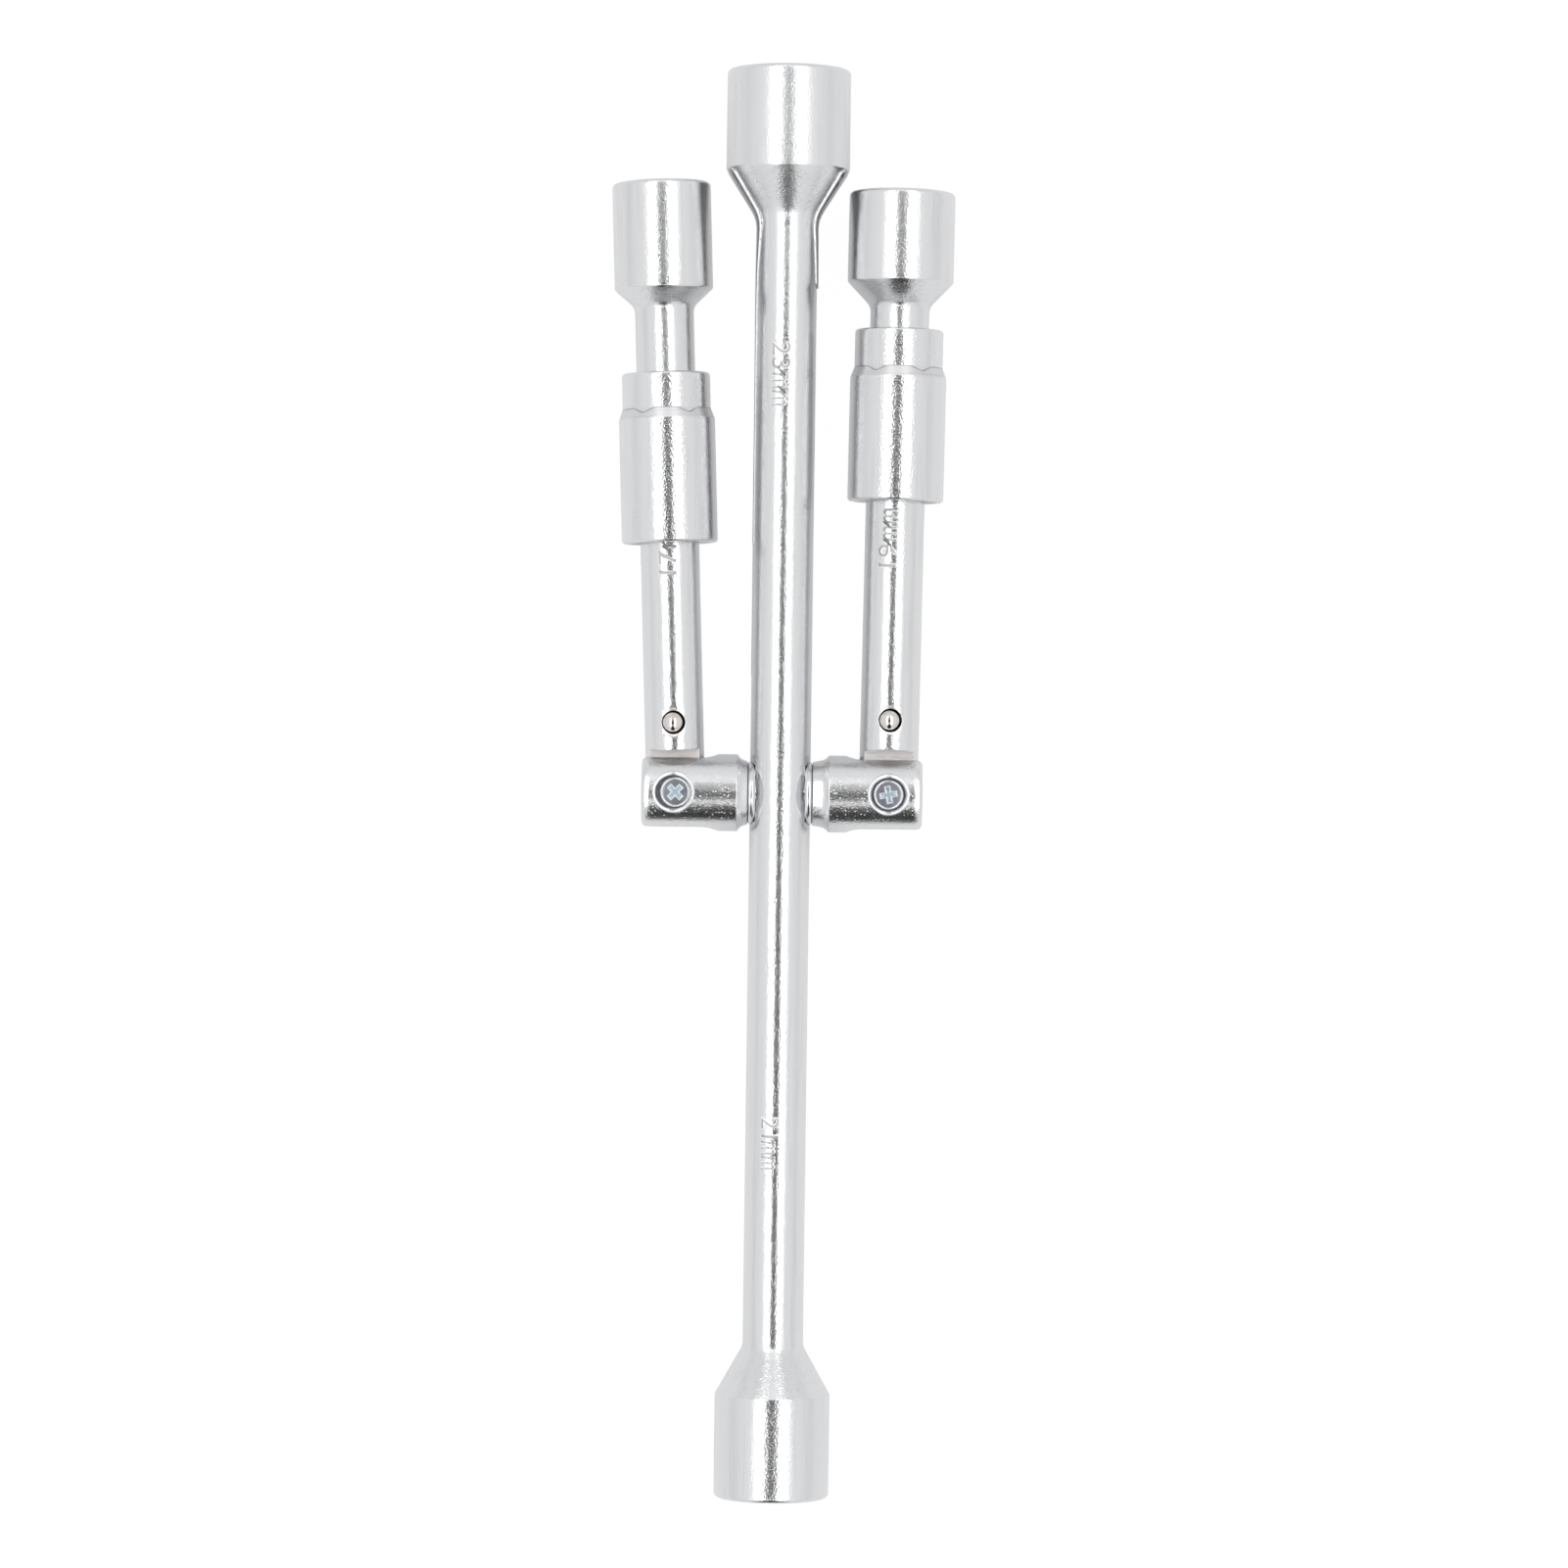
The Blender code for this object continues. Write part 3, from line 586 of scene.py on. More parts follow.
@dataclass(frozen=True)
class Metal:
    """A metal finish and how worn it is."""

    name: str
    colour: Colour
    stain: Colour
    roughness: float
    dull: float
    wave: float = 0.03
    grain: float = 0.02
    pit: float = 0.012
    pitted: float = 0.0
    streak_scale: tuple[float, float, float] = (1.0, 0.05, 1.0)
    streak: float = 0.3
    stain_share: float = 0.5
    edge_radius: float = 0.00025
    rough_zone: tuple[float, float] | None = None
    rough_axis: str = "X"
    rough_middle: float = 0.001
    rough_pitted: float = 1.0
    soft_zone: tuple[float, float] | None = None
    soft: float = 0.36

    @cached_property
    def coat(self) -> Coat:
        """The finish as a material on object coordinates, made at its first use."""
        coat = bpy.data.materials.new(self.name)
        coat.use_nodes = True
        sheet = Sheet(coat.node_tree)
        place = sheet.place()
        bumps = (place, self.wave, self.grain, self.pit, self.pitting(sheet, place))
        relief = sheet.add("ShaderNodeGroup", *bumps, node_tree=plated_relief())
        drawn = sheet.add("ShaderNodeMapping", Vector=place, Scale=self.streak_scale).outputs["Vector"]
        streaks = sheet.add("ShaderNodeGroup", drawn, node_tree=fine_streaks())
        edges = sheet.add("ShaderNodeGroup", self.edge_radius, node_tree=soft_edges())
        worn = sheet.math("MAXIMUM", sheet.times(streaks.outputs[0], self.streak), relief.outputs["Pits"])
        shade = sheet.add("ShaderNodeMix", data_type="RGBA", Factor=sheet.times(worn, self.stain_share))
        shade.inputs[6].default_value = (*self.colour, 1)
        shade.inputs[7].default_value = (*self.stain, 1)
        bump = sheet.add("ShaderNodeBump", Strength=1.0, Distance=0.001)
        sheet.feed(bump.inputs["Height"], relief.outputs["Height"])
        sheet.feed(bump.inputs["Normal"], edges.outputs[0])
        shader = coat.node_tree.nodes["Principled BSDF"].inputs
        sheet.feed(shader["Metallic"], 1.0)
        sheet.feed(shader["Roughness"], sheet.ramp(worn, 0.0, 1.0, self.shine(sheet, place), self.dull))
        sheet.feed(shader["Base Color"], shade.outputs[2])
        sheet.feed(shader["Normal"], bump.outputs["Normal"])
        return coat

    def shine(self, sheet: Sheet, place: Socket) -> object:
        """The plain metal's roughness, softer towards the large socket if it has a soft zone."""
        if not self.soft_zone:
            return self.roughness
        return sheet.ramp(sheet.part(place, "Y"), *self.soft_zone, self.roughness, self.soft)

    def pitting(self, sheet: Sheet, place: Socket) -> object:
        """How pitted the metal is, with a rougher zone along an axis if it has one."""
        if not self.rough_zone:
            return self.pitted
        side = sheet.part(place, self.rough_axis)
        away = sheet.math("ABSOLUTE", sheet.math("SUBTRACT", side, self.rough_middle), 0.0)
        return sheet.ramp(away, *self.rough_zone, self.rough_pitted, self.pitted)


BRIGHT = (0.69, 0.695, 0.705)
WORN = (0.5, 0.5, 0.5)
PLATED = {"roughness": 0.21, "dull": 0.29}
TINY = {"pitted": 0.6, "stain_share": 0.8, "edge_radius": 0.00015}
PLAIN = {"dull": 0.4, "grain": 0.004}
BAR_ZONE = {"soft_zone": (0.11, 0.15), "soft": 0.27}
BAR_FINISH = Metal("bar_chrome", BRIGHT, WORN, **PLATED, wave=0.04, grain=0.06, **BAR_ZONE)
ARM_ZONE = {"rough_zone": (0.002, 0.0045), "rough_axis": "Y", "rough_middle": 0.1245, "rough_pitted": 0.9}
ARM_FINISH = Metal("arm_chrome", BRIGHT, WORN, **PLATED, grain=0.055, pit=0.06, **ARM_ZONE)
SLEEVE_FINISH = Metal("sleeve_chrome", BRIGHT, WORN, 0.17, 0.26, wave=0.01, grain=0.07)
KNUCKLE_WEAR = {"pit": 0.05, "pitted": 0.6, "streak_scale": (0.05, 1.0, 1.0), "stain_share": 0.15}
KNUCKLE_ZONE = {"edge_radius": 0.0005, "rough_zone": (0.0115, 0.0145)}
KNUCKLE_FINISH = Metal("knuckle_chrome", BRIGHT, WORN, 0.21, 0.3, grain=0.055, **KNUCKLE_WEAR, **KNUCKLE_ZONE)
# Painted highlight: a pale metal for the bright edges of lips, rims and the ball's stake.
LIP_HIGHLIGHT_FINISH = Metal("bright_lip", (0.93, 0.93, 0.93), (0.7, 0.7, 0.7), 0.3, **PLAIN)
# Painted shadow: a dark metal for the thin lines that outline the sleeves' lenses.
SHADOW_LINE_FINISH = Metal("sleeve_line", (0.34, 0.34, 0.36), (0.25, 0.25, 0.26), 0.3, **PLAIN)
# Painted highlight: a pale metal for the sloping shoulders of the raised sizes.
SHOULDER_HIGHLIGHT_FINISH = Metal("mark_shoulder", (0.93, 0.93, 0.93), (0.8, 0.8, 0.8), 0.45, 0.5, grain=0.004)
MARK_FINISH = Metal("size_mark", (0.42, 0.42, 0.43), (0.36, 0.36, 0.36), 0.5, 0.55, grain=0.004)
RECESS_FINISH = Metal("recess_zinc", (0.66, 0.8, 0.86), (0.36, 0.46, 0.52), 0.3, 0.45, grain=0.01, streak=0.6)
RING_FINISH = Metal("ring_chrome", BRIGHT, (0.45, 0.45, 0.45), 0.2, 0.3, grain=0.01)
MILLED_WEAR = {"grain": 0.05, "streak": 0.8, "streak_scale": (0.15, 1.0, 1.0), "stain_share": 0.8}
MILLED_FINISH = Metal("milled_flat", (0.66, 0.635, 0.63), (0.4, 0.37, 0.36), 0.36, 0.5, **MILLED_WEAR)
CONE_WEAR = {"grain": 0.01, "streak": 0.7, "streak_scale": (0.06, 1.0, 0.06)}
CONE_FINISH = Metal("turned_cone", (0.64, 0.64, 0.65), (0.46, 0.46, 0.47), 0.34, 0.45, **CONE_WEAR)
# Painted shade: a dark metal for the outer sides of the flash ribs, standing in for the dark they show.
RIB_SHADE_FINISH = Metal("flash_rib", (0.34, 0.34, 0.35), (0.14, 0.14, 0.14), 0.2, 0.3, grain=0.04)
ZINC_WEAR = {"grain": 0.014, "pit": 0.02, "streak_scale": (0.5, 0.5, 1.0), "streak": 0.6}
ZINC_FINISH = Metal("screw_zinc", (0.36, 0.38, 0.42), (0.12, 0.12, 0.14), 0.28, 0.45, **ZINC_WEAR, **TINY)
NUT_WEAR = {"pitted": 0.4, "stain_share": 0.7, "edge_radius": 0.00015}
NUT_FINISH = Metal("nut_zinc", (0.52, 0.56, 0.62), (0.25, 0.27, 0.3), 0.3, 0.5, **NUT_WEAR)
BALL_WEAR = {"wave": 0.0, "grain": 0.006, "pitted": 0.15, "stain_share": 0.7}
BALL_FINISH = Metal("ball_steel", (0.68, 0.64, 0.62), (0.3, 0.24, 0.2), 0.08, 0.3, **BALL_WEAR)
SPRING_FINISH = Metal("spring_steel", (0.42, 0.41, 0.4), (0.2, 0.18, 0.16), 0.3, 0.5)


def dress(piece: Piece, finish: Metal, body: str, slot: Slot, *nodes: str) -> None:
    """Gives a piece its finish and its place in the model.

    Args:
        piece: The finished piece.
        finish: Its main finish.
        body: The body that it rides on.
        slot: Not used.
        nodes: The solids that it stands for.
    """
    if piece.data.materials:
        piece.data.materials[0] = finish.coat
    else:
        piece.data.materials.append(finish.coat)
    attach(piece, body)
    if nodes:
        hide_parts(*nodes)
    LOG.info("%s: %d faces, rides on %s", piece.name, len(piece.data.polygons), body)


def paint_where(piece: Piece, finish: Metal, test: Callable[[Vector, Vector], bool]) -> None:
    """Gives the faces that pass a test a finish of their own.

    Args:
        piece: The piece, at its place in space.
        finish: The finish for those faces.
        test: Takes a face's centre and normal.
    """
    choose(piece, lambda face: test(face.center, face.normal))
    assign_last(piece, finish.coat)


# Layout


@dataclass(frozen=True)
class SocketForm:
    """A hex socket: its hex, wall and length, and the neck behind it."""

    flats: float
    wall: float
    corner: float
    slope_degrees: float
    corner_rounding: float
    neck_rounding: float
    hex_depth: float = 0.019
    rim_rounding: float = 0.0012
    lead: float = 0.0002
    drill_share: float = 0.45
    drill_past: float = 0.001

    def side(self, reach: float, shaft: float) -> list[Corner]:
        """The outline from the middle of the rim to the shaft.

        Args:
            reach: The rim's place on the centre line.
            shaft: The radius of the shaft behind the socket.

        Returns:
            Corners from the centre line outwards and down.
        """
        radius = self.flats / math.sqrt(3) + self.wall
        fall = (radius - shaft) / math.tan(math.radians(self.slope_degrees))
        return [
            Corner(0, reach),
            Corner(radius, reach, self.rim_rounding),
            Corner(radius, reach - self.corner, self.corner_rounding),
            Corner(shaft, reach - self.corner - fall, self.neck_rounding),
        ]

    def mill(self, piece: Piece, line: Line, reach: float) -> None:
        """Mills the hex pocket with its lead-in and drill point.

        Args:
            piece: The piece with the socket.
            line: The socket's centre line.
            reach: The rim's place on the line.
        """
        floor = reach - self.hex_depth
        join(piece, prism("hex", line, self.flats, floor, reach + OVERRUN))
        wide = self.flats / math.sqrt(3) - self.lead
        narrow = self.flats / 2 - self.lead
        start, end = reach + OVERRUN, reach - (wide - narrow)
        bore(piece, [(0, start), (wide + OVERRUN, start), (narrow, end), (0, end)], line, 72)
        drill = self.flats * self.drill_share
        start, end = floor + OVERRUN, floor - self.drill_past
        bore(piece, [(0, start), (drill, start), (drill, end), (0, end - drill / math.sqrt(3))], line, 48)


@dataclass(frozen=True)
class Cross:
    """Where the bar, the hinges and the arms stand."""

    reach: float = 0.182
    shift: float = 0.0025
    centre: Vector = Vector((0.001012, -0.0025, 0.015749))
    bar_radius: float = 0.0077
    left_pivot: float = 0.026624
    right_pivot: float = 0.027569
    left_splay: float = 2.1
    right_splay: float = 0.65
    right_short: float = 0.0008

    @property
    def bar_line(self) -> Line:
        """The main bar's centre line."""
        return Line(self.centre, Y, X)

    def pivot(self, hand: Hand) -> float:
        """How far a hinge stands from the bar's axis."""
        return self.left_pivot if hand is Hand.LEFT else self.right_pivot

    def hinge(self, hand: Hand) -> Vector:
        """The middle of a hinge."""
        return self.centre + X * hand.value * self.pivot(hand)

    def arm_reach(self, hand: Hand) -> float:
        """From a hinge to the rim of its arm's socket."""
        short = self.right_short if hand is Hand.RIGHT else 0.0
        return self.reach - short - self.pivot(hand)

    def arm_line(self, hand: Hand) -> Line:
        """The centre line of a folded arm, from its hinge."""
        splay = self.left_splay if hand is Hand.LEFT else self.right_splay
        angle = math.radians(splay) * hand.value
        along = Vector((math.sin(angle), math.cos(angle), 0))
        return Line(self.hinge(hand), along, Vector((along.y, -along.x, 0)))

    def knuckle_line(self, hand: Hand) -> Line:
        """The centre line of a knuckle, from the bar's axis outwards."""
        return Line(self.centre, X * hand.value, Y)

    def pivot_line(self, hand: Hand) -> Line:
        """The centre line of a hinge's screw, upwards."""
        return Line(self.hinge(hand), Z, X)


CROSS = Cross()


# The pieces


@dataclass
class SizeMark:
    """A raised size on a shaft: a number and its unit."""

    name: str
    number: str
    start: Vector
    reading: Vector
    number_length: float
    gap: float
    unit_length: float
    number_height: float = 0.0048
    unit_height: float = 0.0039
    strip: float = 0.00035
    above: float = 0.02
    sunk: float = 0.00002
    proud: float = 0.00022
    shoulder: float = 0.00026

    def build(self, shaft: Piece, body: str, slot: Slot) -> None:
        """Models the characters and lays them on the shaft.

        Args:
            shaft: The piece that carries them.
            body: The body that carries them.
            slot: The slot for its finish.
        """
        number = self.words(self.number, 0, self.number_length, self.number_height)
        unit = self.words("mm", self.number_length + self.gap, self.unit_length, self.unit_height)
        mark = pick(number, unit)
        bpy.ops.object.join()
        mark.name = mark.data.name = self.name
        swing(mark, -math.atan2(self.reading.y, self.reading.x), Vector())
        slide(mark, self.start + Z * self.above)
        self.slice()
        let_down(mark, shaft, self.sunk)
        dress(mark, MARK_FINISH, body, slot)
        self.raise_up(mark)

    def words(self, text: str, start: float, length: float, height: float) -> Piece:
        """Writes characters as a flat sheet that fills a box.

        Args:
            text: The characters.
            start: Where the box starts.
            length: The box's length.
            height: The box's height.

        Returns:
            The sheet, from the box's lower left corner.
        """
        letters = fresh("words", bpy.ops.object.text_add).data
        letters.body = text
        letters.resolution_u = 4
        letters.offset = 0.03
        bpy.ops.object.convert(target="MESH")
        obj = bpy.context.object
        low, high = ([end(v.co[axis] for v in obj.data.vertices) for axis in range(2)] for end in (min, max))
        edit()
        bpy.ops.mesh.remove_doubles(threshold=MERGE)
        bpy.ops.transform.translate(value=(-low[0], -low[1], 0))
        scale = (length / (high[0] - low[0]), height / (high[1] - low[1]), 1)
        bpy.ops.transform.resize(value=scale, center_override=(0, 0, 0))
        close()
        return slide(obj, X * start)

    def slice(self) -> None:
        """Cuts the active sheet into narrow strips, so that it can bend."""
        across = Z.cross(self.reading)
        count = round(self.number_height / self.strip)
        edit()
        for index in range(1, count):
            cut = self.start + across * (self.number_height * index / count)
            bpy.ops.mesh.select_all(action="SELECT")
            bpy.ops.mesh.bisect(plane_co=cut, plane_no=across)
        close()

    def raise_up(self, mark: Piece) -> None:
        """Raises the characters, with sloping shoulders painted bright as a highlight."""
        choose(mark, lambda face: face.normal.z < 0)
        bpy.ops.mesh.flip_normals()
        bpy.ops.mesh.select_all(action="SELECT")
        bpy.ops.mesh.inset(thickness=self.shoulder, depth=self.proud, use_boundary=True)
        bpy.ops.mesh.select_all(action="INVERT")
        # The shoulders get a painted highlight.
        assign_last(mark, SHOULDER_HIGHLIGHT_FINISH.coat)
        bpy.ops.object.shade_smooth_by_angle(angle=math.radians(60))


@dataclass(frozen=True)
class RibStation:
    """A place on a rib of flash: its middle's distance from the bar's side, and its size."""

    along: float
    out: float
    proud: float
    thick: float

    def towards(self, other: "RibStation", share: float) -> "RibStation":
        """The station between this one and another."""
        return RibStation(*(a + (b - a) * share for a, b in zip(astuple(self), astuple(other))))


RIB_HEAD = (
    RibStation(0.1589, -0.0014, 0.0006, 0.0040),
    RibStation(0.1586, -0.0018, 0.0017, 0.0066),
    RibStation(0.1578, -0.0019, 0.0020, 0.0073),
)
LEFT_RIB = (
    *RIB_HEAD,
    RibStation(0.1500, -0.0016, 0.0017, 0.0056),
    RibStation(0.1410, -0.0010, 0.0012, 0.0040),
    RibStation(0.1330, -0.0004, 0.0007, 0.0028),
    RibStation(0.1240, -0.0002, 0.0005, 0.0024),
    RibStation(0.1000, -0.0002, 0.0004, 0.0022),
    RibStation(0.0640, -0.0002, 0.0004, 0.0021),
    RibStation(0.0630, -0.0002, 0.0003, 0.0019),
    RibStation(0.0622, -0.0001, 0.0002, 0.0009),
    RibStation(0.0300, -0.0001, 0.0002, 0.0008),
)
RIGHT_RIB = (
    *RIB_HEAD,
    RibStation(0.1500, -0.0016, 0.0017, 0.0054),
    RibStation(0.1410, -0.0009, 0.0012, 0.0036),
    RibStation(0.1300, -0.0003, 0.0007, 0.0024),
    RibStation(0.1290, 0.0, 0.0004, 0.0012),
    RibStation(0.1288, -0.0004, 0.0002, 0.0022),
    RibStation(0.1250, -0.0004, 0.0002, 0.0020),
    RibStation(0.1246, -0.0001, 0.0001, 0.0008),
    RibStation(0.0400, -0.0001, 0.0001, 0.0008),
)


@dataclass
class MainBar:
    """The main bar: two sockets on one shaft, with the forging's flash."""

    top: SocketForm = SocketForm(0.023, 0.00247, 0.0255, 32.4, 0.0009, 0.009)
    bottom: SocketForm = SocketForm(0.021, 0.00253, 0.0263, 29.5, 0.0005, 0.004)
    top_reach: float = CROSS.reach + CROSS.shift
    bottom_reach: float = CROSS.reach - CROSS.shift
    seat: float = 0.0082
    seat_floor: float = 0.0062
    cross_hole: float = 0.005

    def build(self) -> Piece:
        """Models the bar, its pockets, its flash and the hinges' seats.

        Returns:
            The finished bar.
        """
        lower = self.bottom.side(self.bottom_reach, CROSS.bar_radius)
        corners = self.top.side(self.top_reach, CROSS.bar_radius)
        corners += [Corner(c.across, -c.along, c.rounding) for c in reversed(lower)]
        bar = turned("main_bar_forging", outline_of(corners, 0.003), CROSS.bar_line, 128)
        join(bar, self.rib(Hand.LEFT, LEFT_RIB), Join.ADD)
        join(bar, self.rib(Hand.RIGHT, RIGHT_RIB), Join.ADD)
        self.top.mill(bar, CROSS.bar_line, self.top_reach)
        self.bottom.mill(bar, Line(CROSS.centre, DOWN_BAR, X), self.bottom_reach)
        spigot = rod(self.cross_hole, self.seat_floor, -OVERRUN)
        seat = rod(self.seat, CROSS.bar_radius + OVERRUN, self.seat_floor)[:3] + spigot[1:]
        for hand in Hand:
            bore(bar, seat, CROSS.knuckle_line(hand), 64)
        polish(bar)
        dress(bar, BAR_FINISH, "cross", Slot.BAR, "main_bar")
        # Painted shade on the ribs' outer sides.
        paint_where(bar, RIB_SHADE_FINISH, self.on_rib_shade)
        return bar

    def rib(self, hand: Hand, stations: Sequence[RibStation]) -> Piece:
        """One rib of flash, swept down a side of the bar.

        Args:
            hand: The side that it stands on.
            stations: Its places and sizes, from the socket down.

        Returns:
            A half-sunk rib.
        """
        fine = [stations[0]]
        for start, end in zip(stations, stations[1:]):
            pieces = max(1, math.ceil((start.along - end.along) / 0.0015))
            fine += [start.towards(end, (index + 1) / pieces) for index in range(pieces)]
        sides = [hand.value * (self.neck_radius(station.along) + station.out) for station in fine]
        middles = [CROSS.bar_line.at(side, station.along) for side, station in zip(sides, fine)]
        place = {"location": middles[0], "rotation": (math.pi / 2, 0, 0)}
        rib = settle(fresh("rib", bpy.ops.mesh.primitive_plane_add, size=2, **place))
        edit("VERT")
        bpy.ops.mesh.bevel(affect="VERTICES", offset=0.8, offset_type="OFFSET", segments=9)
        bpy.ops.mesh.select_all(action="SELECT")
        bpy.ops.transform.resize(value=(fine[0].proud, 1, fine[0].thick), center_override=middles[0])
        for index in range(1, len(fine)):
            step = middles[index] - middles[index - 1]
            bpy.ops.mesh.extrude_region_move(TRANSFORM_OT_translate={"value": step})
            ratio = fine[index].proud / fine[index - 1].proud, fine[index].thick / fine[index - 1].thick
            bpy.ops.transform.resize(value=(ratio[0], 1, ratio[1]), center_override=middles[index])
        face_out()
        return rib

    def on_rib_shade(self, centre: Vector, normal: Vector) -> bool:
        """Whether a face is on the outer side of a rib, which is painted dark as shade."""
        offset = centre - CROSS.centre
        top = self.top_reach - self.top.corner - 0.0002
        if abs(offset.z) > 0.0074 or not 0.062 < offset.y < top or abs(normal.z) > 0.55:
            return False
        return math.hypot(offset.x, offset.z) > self.neck_radius(offset.y) + 0.00008

    @cached_property
    def neck(self) -> list[Point]:
        """The outline of the top socket and its neck."""
        side = self.top.side(self.top_reach, CROSS.bar_radius)
        return outline_of([*side, Corner(CROSS.bar_radius, 0)], 0.002)

    def neck_radius(self, along: float) -> float:
        """The plain radius of the top neck at a place on the bar."""
        for (wide, high), (narrow, low) in zip(self.neck, self.neck[1:]):
            if low <= along <= high and high > low:
                return narrow + (wide - narrow) * (along - low) / (high - low)
        return CROSS.bar_radius


@dataclass
class FoldingArm:
    """A folding arm: socket, shaft, tongue and the seat of its ball."""

    hand: Hand
    socket: SocketForm
    ball: float
    radius: float = 0.0075
    tongue_half: float = 0.004
    tongue_hole: float = 0.0028
    lip: float = 0.0115
    shoulder: float = 0.01195
    shoulder_radius: float = 0.022

    def build(self) -> Piece:
        """Models the arm.

        Returns:
            The finished arm.
        """
        line = CROSS.arm_line(self.hand)
        reach = CROSS.arm_reach(self.hand)
        outline = outline_of([*self.socket.side(reach, self.radius), Corner(self.radius, 0)], 0.0015)
        for step in range(1, 13):
            angle = math.radians(7.5 * step)
            outline.append((self.radius * math.cos(angle), -self.radius * math.sin(angle)))
        outline[-1] = (0, -self.radius)
        arm = turned(self.hand.word + "_arm_forging", outline, line, 112)
        self.socket.mill(arm, line, reach)
        upright = CROSS.pivot_line(self.hand)
        wide = self.radius + OVERRUN
        mill_line = upright.moved(line.along * (self.shoulder - self.shoulder_radius))
        undercut = (self.shoulder - self.lip) * (wide - self.tongue_half) / (self.radius - self.tongue_half)
        edge = self.shoulder_radius
        for sign in (1, -1):
            flat, far = sign * self.tongue_half, sign * wide
            bore(arm, [(0, far), (edge - undercut, far), (edge, flat), (0, flat)], mill_line, 240)
        bore(arm, rod(self.tongue_hole, wide, -wide), upright, 48)
        self.seat_ball(arm, Line(line.at(0, self.ball), Z, X))
        polish(arm)
        self.dress(arm, line)
        return arm

    def seat_ball(self, arm: Piece, upright: Line) -> None:
        """Drills the ball's blind hole, with its dished and staked mouth."""
        dish = [(0, 0.0095), (0.0045, 0.0095), (0.0036, 0.00752), (0.0034, 0.00742), (0.0032, 0.00734)]
        stake = [(0.0030, 0.00718), (0.00297, 0.0069), (0.0033, 0.0064)]
        bore(arm, [*dish, *stake, (0.0033, -0.0045), (0, -0.0045)], upright, 64)

    def dress(self, arm: Piece, line: Line) -> None:
        """Gives the arm its chrome, milled metal on its tongue and a painted highlight round its ball."""
        body = self.hand.word + "_arm"
        level = line.origin.z
        middle = line.at(0, self.ball)

        def on_tongue(centre: Vector, normal: Vector) -> bool:
            """Whether a face is one of the milled flats or their shoulders."""
            along = (centre - line.origin).dot(line.along)
            flat = abs(abs(centre.z - level) - self.tongue_half) < 0.0001 and abs(normal.z) > 0.9
            face = abs(centre.z - level) > self.tongue_half and normal.dot(line.along) < -0.5
            return along < self.shoulder + 0.0006 and (flat or face)

        def on_stake_highlight(centre: Vector, normal: Vector) -> bool:
            """Whether a face is on the staked edge round the ball, painted bright as a highlight."""
            return 0.00296 < (centre - middle).xy.length < 0.0036 and centre.z > level + 0.0070

        dress(arm, ARM_FINISH, body, Slot.ARM, body)
        paint_where(arm, MILLED_FINISH, on_tongue)
        # Painted highlight round the ball's staked edge.
        paint_where(arm, LIP_HIGHLIGHT_FINISH, on_stake_highlight)


